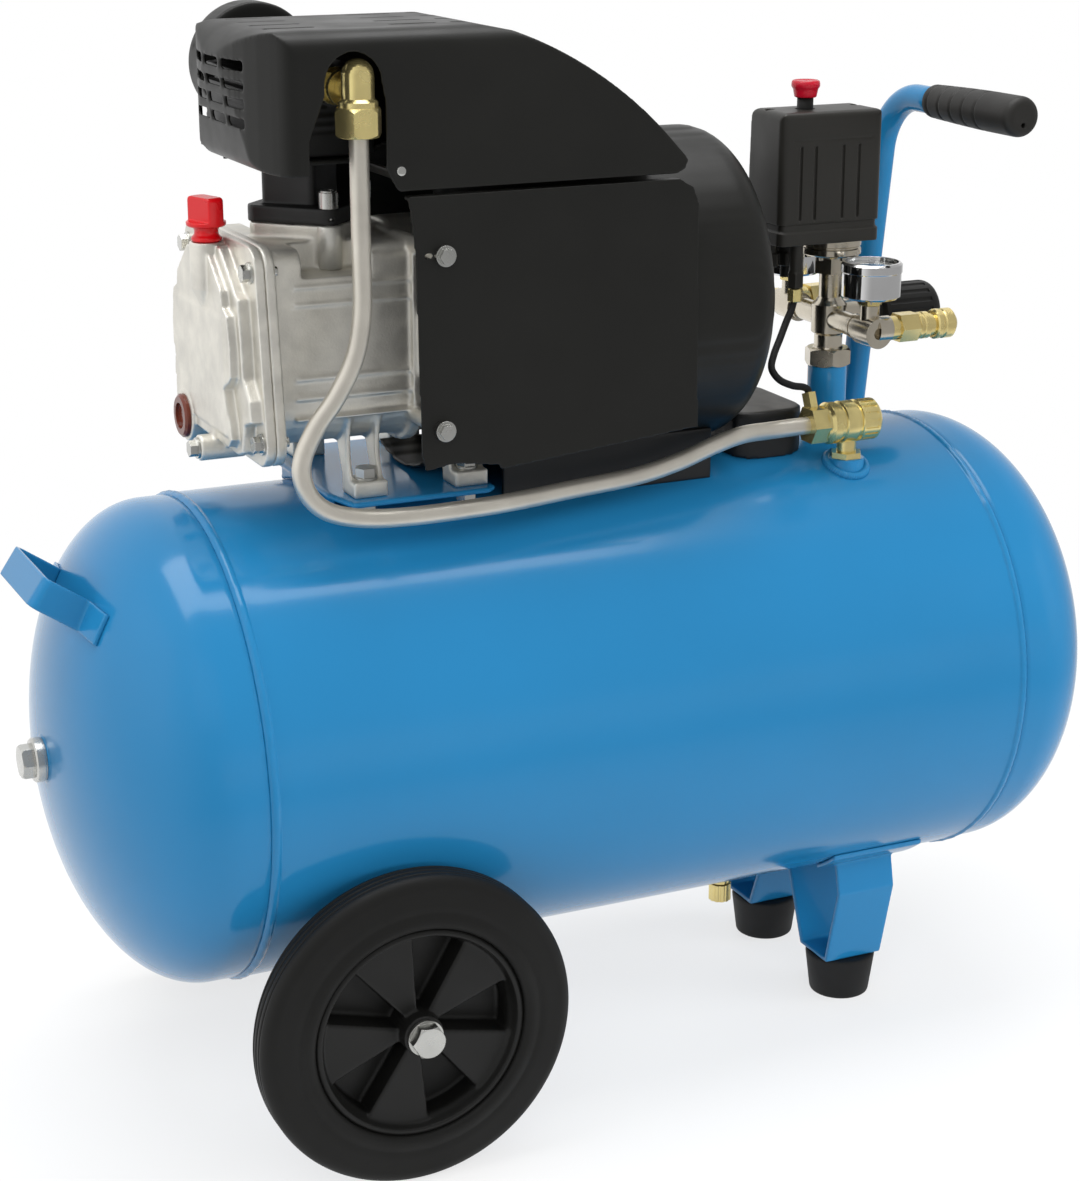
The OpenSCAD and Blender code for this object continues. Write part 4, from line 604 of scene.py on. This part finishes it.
pipe_points = [
    (elbow_x, elbow_y, nut_z + 7), (elbow_x, elbow_y, nut_z - 30), (-178.7, -94.5, crank_z + 66),
    (-179, -95, crank_z + 30), (-184, -95, crank_z + 3), (-196, -95, crank_z - 20), (-209, -95, crank_z - 37),
    (-218, -95.5, crank_z - 54), (-219, -96, crank_z - 68), (-213, -96.5, crank_z - 81),
    (-201, -97, deck_z + 2), (-180, -97, deck_z - 3.5), (-153, -97, deck_z - 5.5), (-120, -97, deck_z - 5.5),
    (-86, -95, deck_z - 5), (-40, -87, deck_z - 4), (7, -82, deck_z - 2), (40, -78, deck_z + 3),
    (66, -74, deck_z + 9.4), (91, -68, valve_z + 1.4), (118, -60, valve_z), (valve_x - 29, valve_y, valve_z)]
add_piece("delivery_pipe", sweep("delivery_pipe", spline(pipe_points, 10), 5.75, 40), PIPE, "discharge_tube",
          stands_in=True)
relief_points = [
    (relief_x, relief_y, switch_z - 29.2), (159.7, relief_y, switch_z - 35), (156.5, -16, switch_z - 43),
    (150.5, -20, switch_z - 50), (142, -26.5, switch_z - 60), (134.5, -32, switch_z - 69),
    (130.5, -36.5, switch_z - 77), (134, -41, switch_z - 84), (142, -44.5, switch_z - 88),
    (149.5, -45.3, switch_z - 89.5), (152.6, -46.2, valve_z + 21.3), (153, -46.9, valve_z + 19.3)]
add_piece("bleed_tube", sweep("bleed_tube", spline(relief_points, 8), 2.4, 24), RUBBER, "relief_tube",
          stands_in=True)

# ---- Tyres ----

rim_r = 68.0
tyre_lo, tyre_hi = box_mm("front_tyre")
tyre_r = (tyre_hi.z - tyre_lo.z) / 2
half_w = (tyre_hi.y - tyre_lo.y) / 2
wheel_y = -(tyre_hi.y + tyre_lo.y) / 2
axle_x = (tyre_lo.x + tyre_hi.x) / 2 - SHIFT


def tyre_section():
    """Closed outline of the tyre: a rolled lip by the rim, wall, shoulder and a tread with fine grooves."""
    # How far each point lies outside the rim, and how far in from the tyre's side
    lip_and_wall = ((0, 8), (0, 3.8), (0.9, 1.6), (2.8, 0.3), (5.0, 0), (7.6, 0.7), (9.6, 1.8), (11.0, 2.2),
                    (12.0, 1.9), (16, 2.1), (19, 2.6))
    side = [(rim_r + out, half_w - inwards) for out, inwards in lip_and_wall]
    for b in range(10, 84, 6):
        a = math.radians(b)
        side.append((tyre_r - 10 + 10 * math.sin(a), half_w - 10.6 + 7.8 * math.cos(a)))
    # How deep a groove is beside its middle
    groove = ((0.9, 0), (0.55, 0.35), (0.3, 1.1), (-0.3, 1.1), (-0.55, 0.35), (-0.9, 0))
    tread = [(tyre_r - depth, middle + beside) for middle in (4.8, 0.0, -4.8) for beside, depth in groove]
    return side + tread + [(r, -along) for r, along in reversed(side)]


for side, node in ((-1, "front_tyre"), (1, "rear_tyre")):
    skin = lathe(node, tyre_section(), (axle_x, side * wheel_y, tyre_r), (0, side, 0), 320, closed=True)
    add_piece(node + "_skin", skin, TYRE, node, stands_in=True)

# ---- Gauge dials ----

INK_DEPTH = 0.12
# Strokes of a digit, each from (x, y) to (x, y), on a grid 2 wide and 4 high about its middle
DIGITS = {
    "0": [(-1, -2, -1, 2), (-1, 2, 1, 2), (1, 2, 1, -2), (1, -2, -1, -2)],
    "1": [(0, -2, 0, 2), (0, 2, -0.8, 1.2)],
    "2": [(-1, 2, 1, 2), (1, 2, 1, 0), (1, 0, -1, 0), (-1, 0, -1, -2), (-1, -2, 1, -2)],
    "4": [(-1, 2, -1, 0), (-1, 0, 1, 0), (0.5, 1.4, 0.5, -2)],
    "6": [(1, 2, -1, 2), (-1, 2, -1, -2), (-1, -2, 1, -2), (1, -2, 1, 0), (1, 0, -1, 0)],
    "8": [(-1, -2, -1, 2), (-1, 2, 1, 2), (1, 2, 1, -2), (1, -2, -1, -2), (-1, 0, 1, 0)],
}


def flat_ring(x, y, z, r0, r1, a0, a1, n):
    """Thin band of ink round (x, y), from radius r0 to r1 and from angle a0 to a1 in n steps."""
    verts, faces = [], []
    for i in range(n + 1):
        a = math.radians(a0 + (a1 - a0) * i / n)
        for r in (r0, r1):
            for dz in (0.0, INK_DEPTH):
                verts.append(P(x + r * math.cos(a), y + r * math.sin(a), z + dz))
    for i in range(n):
        b, c = 4 * i, 4 * (i + 1)
        faces += [(b + 1, b + 3, c + 3, c + 1), (b, c, c + 2, b + 2), (b, b + 1, c + 1, c),
                  (b + 2, c + 2, c + 3, b + 3)]
    faces += [(0, 2, 3, 1), (4 * n, 4 * n + 1, 4 * n + 3, 4 * n + 2)]
    return mesh_from("ring", verts, faces, smooth=False)


def tick(x, y, z, r0, r1, angle, width):
    """Straight stroke of ink that runs out from (x, y), from radius r0 to r1."""
    a = math.radians(angle)
    along, across = Vector((math.cos(a), math.sin(a), 0)), Vector((-math.sin(a), math.cos(a), 0)) * width / 2
    verts = []
    for dz in (0.0, INK_DEPTH):
        for q in (along * r0 - across, along * r1 - across, along * r1 + across, along * r0 + across):
            verts.append(P(x + q.x, y + q.y, z + dz))
    faces = [(4, 5, 6, 7), (3, 2, 1, 0), (0, 1, 5, 4), (1, 2, 6, 5), (2, 3, 7, 6), (3, 0, 4, 7)]
    return mesh_from("tick", verts, faces, smooth=False)


def figure(text, cx, cy, z, size):
    """Plain strokes of a number about (cx, cy)."""
    unit, width, overrun = size * 0.3, size * 0.14, size * 0.06
    parts = []
    for i, digit in enumerate(text):
        ox = cx + (i - (len(text) - 1) / 2) * size * 0.9
        for x0, y0, x1, y1 in DIGITS[digit]:
            start = Vector((ox + x0 * unit, cy + y0 * unit, 0))
            stroke = Vector((ox + x1 * unit, cy + y1 * unit, 0)) - start
            angle = math.degrees(math.atan2(stroke.y, stroke.x))
            parts.append(tick(start.x, start.y, z, -overrun, stroke.length + overrun, angle, width))
    return parts


# A scale runs clockwise from 0 to 10 over three quarters of a turn, in 50 steps
SCALE_START, SCALE_SWEEP, STEPS = 225, 270, 50
dial_z = gauge_z + 15.02
ink_z = dial_z + 0.2
for side, case in ((-1, "front"), (1, "rear")):
    x, y = riser_x, side * gauge_y
    face = lathe("face", [(1.4, 0.0), (1.4, 0.2), (16.2, 0.2), (16.5, 0.1), (16.5, 0.0)], (x, y, dial_z),
                 UP, 96)
    add_piece(case + "_dial", face, WHITE, "gauge_cases")
    marks = [flat_ring(x, y, ink_z, 14.6, 14.9, SCALE_START - SCALE_SWEEP, SCALE_START, 72)]
    for i in range(STEPS + 1):
        angle = SCALE_START - SCALE_SWEEP * i / STEPS
        if i % 10:
            marks.append(tick(x, y, ink_z, 13.4, 14.7, angle, 0.25))
        else:
            marks.append(tick(x, y, ink_z, 12.4, 14.7, angle, 0.55))
            a = math.radians(angle)
            marks += figure(str(i // 5), x + 9.6 * math.cos(a), y + 9.6 * math.sin(a), ink_z, 3.0)
    add_piece(case + "_scale", join_mesh("scale", marks), INK, "gauge_cases")

# ---- Small fittings ----

# Screw that holds the cowl, in the hole by its slanted edge
screw_profile = [(AT_AXIS, 2.9), (1.2, 2.9), (2.4, 2.6), (3.3, 1.8), (3.6, 0.8), (3.6, 0.0), (1.6, 0.0),
                 (1.6, -2.0)]
add_piece("cowl_screw", lathe("screw", screw_profile, (-156.0, -101.2, crank_z + 110), (0, -1, 0), 48), ZINC,
          "pump_bolts")

# Push-pull knob: a flared crimson cap with a shallow dish, on a black stem
knob_lo, knob_hi = box_mm("switch_knob")
knob_at = ((knob_lo.x + knob_hi.x) / 2 - SHIFT, (knob_lo.y + knob_hi.y) / 2, 0)
lid_top, knob_top = box_mm("switch_cover")[1].z, knob_hi.z
stem = [(AT_AXIS, knob_lo.z), (5.4, knob_lo.z), (5.4, lid_top + 9), (AT_AXIS, lid_top + 9)]
add_piece("knob_stem", lathe("stem", stem, knob_at, UP, 72, closed=True), BLACK, "switch_knob")
above_lid = ((AT_AXIS, 7.4), (6.6, 7.4), (7.2, 7.7), (7.5, 8.4), (7.8, 10), (8.1, 11.5), (8.4, 13), (9.2, 14),
             (9.5, 14.8), (9.5, 16.4))
below_top = ((9.1, 1), (8.3, 0.5), (7.6, 0.8), (6.8, 1.2), (3, 1.0), (AT_AXIS, 0.9))
cap = [(r, lid_top + up) for r, up in above_lid] + [(r, knob_top - down) for r, down in below_top]
add_piece("knob_cap", lathe("cap", cap, knob_at, UP, 96, closed=True), CRIMSON, "switch_knob", stands_in=True)

# Painted shade: a black sheet, 2 mm thick, inside the cowl behind the head and down beside the neck, that
# darkens the gap behind the neck where shade falls
painted_shade_y, painted_shade_wall = 47.0, 2.0
painted_shade_outline = [(-166, plate_z0 + 3), (-118, plate_z0 + 3), (-118, cowl_z0 + 72), (-214, cowl_z0 + 72),
        (-214, cowl_z0 + 4), (-166, cowl_z0 + 4)]
count = len(painted_shade_outline)
verts = [P(x, y, z) for y in (painted_shade_y, painted_shade_y + painted_shade_wall) for x, z in painted_shade_outline]
faces = [tuple(range(count)), tuple(range(count, 2 * count))]
faces += [(i, (i + 1) % count, count + (i + 1) % count, count + i) for i in range(count)]
add_piece("painted_shade_wall", mesh_from("painted_shade_wall", verts, faces, smooth=False), BLACK, "top_cowl")

# Brass nuts where the relief tube leaves its valve and where each gauge screws in
add_piece("relief_nut", hexagon("nut", 9.0, switch_z - 38.5, switch_z - 29.6, relief_x, relief_y), YELLOW,
          "check_valve")
for side, case in ((-1, "front"), (1, "rear")):
    nut = hexagon("nut", 14.0, gauge_z - 5.2, gauge_z - 0.1, riser_x, side * gauge_y)
    add_piece(case + "_gauge_nut", nut, BRASS, "coupler_bodies")

# Cast boss that holds the front flange stud, under the black plate
boss_bottom, boss_top = plate_z0 - 26, plate_z0 - 0.2
boss = [(7.4, boss_bottom), (7.4, boss_top - 1.8), (7.2, boss_top - 0.4), (6.6, boss_top), (3.2, boss_top),
        (3.2, boss_bottom)]
add_piece("stud_boss", lathe("boss", boss, (stud_x, stud_y, 0), UP, 64, closed=True), CAST, "crankcase")

# ---- Lamps and background ----

# Name, place, point it faces, width, height in metres, power, and whether gloss mirrors it
LAMPS = (
    ("key_box", (-1.3, -2.5, 2.3), (0, 0, 0.3), 2.2, 1.8, 36, False),
    ("top_box", (0.0, 0.1, 2.7), (0, 0, 0.3), 2.4, 1.4, 44, True),
    ("left_box", (-2.9, 0.1, 1.5), (0, 0, 0.5), 2.0, 2.2, 38, False),
    ("right_box", (2.6, -1.4, 1.0), (0, 0, 0.35), 1.4, 1.8, 44, False),
    ("back_box", (0.8, 2.6, 1.5), (0, 0, 0.4), 2.2, 1.4, 20, False),
    ("low_box", (0.5, -2.4, 0.35), (0, 0, 0.25), 3.0, 0.6, 18, False),
)
for name, place, target, width, height, power, mirrored in LAMPS:
    lamp = bpy.data.lights.new(name, "AREA")
    lamp.energy = power
    lamp.shape = "RECTANGLE"
    lamp.size = width
    lamp.size_y = height
    o = bpy.data.objects.new(name, lamp)
    o.location = place
    o.rotation_euler = (Vector(target) - Vector(place)).to_track_quat("-Z", "Y").to_euler()
    o.visible_glossy = mirrored
    scene.collection.objects.link(o)

WHITE_LIGHT = (1, 1, 1, 1)
world = bpy.data.worlds.new("studio")
scene.world = world
world.use_nodes = True
tree = world.node_tree
tree.nodes.clear()


def world_node(kind, **props):
    n = tree.nodes.new(kind)
    for k, v in props.items():
        setattr(n, k, v)
    return n


def larger(a, b):
    m = world_node("ShaderNodeMath", operation="MAXIMUM")
    tree.links.new(a, m.inputs[0])
    tree.links.new(b, m.inputs[1])
    return m.outputs[0]


# The paper behind the object is seen white and shows in its metal; the room in front is dimmer
rays = world_node("ShaderNodeLightPath").outputs
way = world_node("ShaderNodeVectorMath", operation="DOT_PRODUCT")
way.inputs[1].default_value = (-0.6, 0.8, 0.2)
tree.links.new(world_node("ShaderNodeTexCoord").outputs["Generated"], way.inputs[0])
paper = world_node("ShaderNodeMapRange", interpolation_type="SMOOTHSTEP")
for key, v in (("From Min", -0.5), ("From Max", 0.6), ("To Min", 0.4), ("To Max", 1.0)):
    paper.inputs[key].default_value = v
tree.links.new(way.outputs["Value"], paper.inputs["Value"])
direct = larger(rays["Is Camera Ray"], rays["Is Transmission Ray"])
seen = world_node("ShaderNodeBackground")
seen.inputs["Color"].default_value = WHITE_LIGHT
tree.links.new(larger(direct, paper.outputs[0]), seen.inputs["Strength"])
light = world_node("ShaderNodeBackground")
light.inputs["Color"].default_value = WHITE_LIGHT
light.inputs["Strength"].default_value = 0.42
pick = world_node("ShaderNodeMixShader")
tree.links.new(larger(direct, rays["Is Glossy Ray"]), pick.inputs[0])
tree.links.new(light.outputs[0], pick.inputs[1])
tree.links.new(seen.outputs[0], pick.inputs[2])
tree.links.new(pick.outputs[0], world_node("ShaderNodeOutputWorld").inputs[0])

# ---- Floor ----

bpy.ops.mesh.primitive_circle_add(radius=3.0, vertices=96, fill_type="NGON")
floor = bpy.context.object
floor.name = "floor"
fm = Mat("floor_paper")
fm.colour((0.93, 0.93, 0.93, 1), scale=0.8, amount=0.01)
fm.rough(0.8, 0.9, scale=3.0)
fm.set(Specular_IOR_Level=0.1)


def floor_mix(fac, a, b):
    n = fm.add("ShaderNodeMixShader")
    for source, socket in zip((fac, a, b), n.inputs):
        fm.link(source, socket)
    return n.outputs[0]


# Seen directly or in gloss, the paper is part white, so that it matches the background
white = fm.add("ShaderNodeEmission")
white.inputs["Strength"].default_value = 1.0
seen_by = fm.add("ShaderNodeLightPath").outputs
direct_ray = fm.add("ShaderNodeMath", operation="MAXIMUM")
fm.link(seen_by["Is Camera Ray"], direct_ray.inputs[0])
fm.link(seen_by["Is Glossy Ray"], direct_ray.inputs[1])
lift = fm.span(direct_ray.outputs[0], 0.0, 0.55, 0.0, 1.0)
lifted = floor_mix(lift, fm.shader.outputs[0], white.outputs[0])
# It fades out away from the object, so that only the soft shadow shows
reach = fm.add("ShaderNodeVectorMath", operation="LENGTH")
fm.link(fm.coord, reach.inputs[0])
fade = fm.span(reach.outputs["Value"], 0.3, 1.0, 0.45, 1.15)
clear = fm.add("ShaderNodeBsdfTransparent")
fm.link(floor_mix(fade, lifted, clear.outputs[0]), fm.out.inputs[0])
floor.data.materials.append(fm.m)
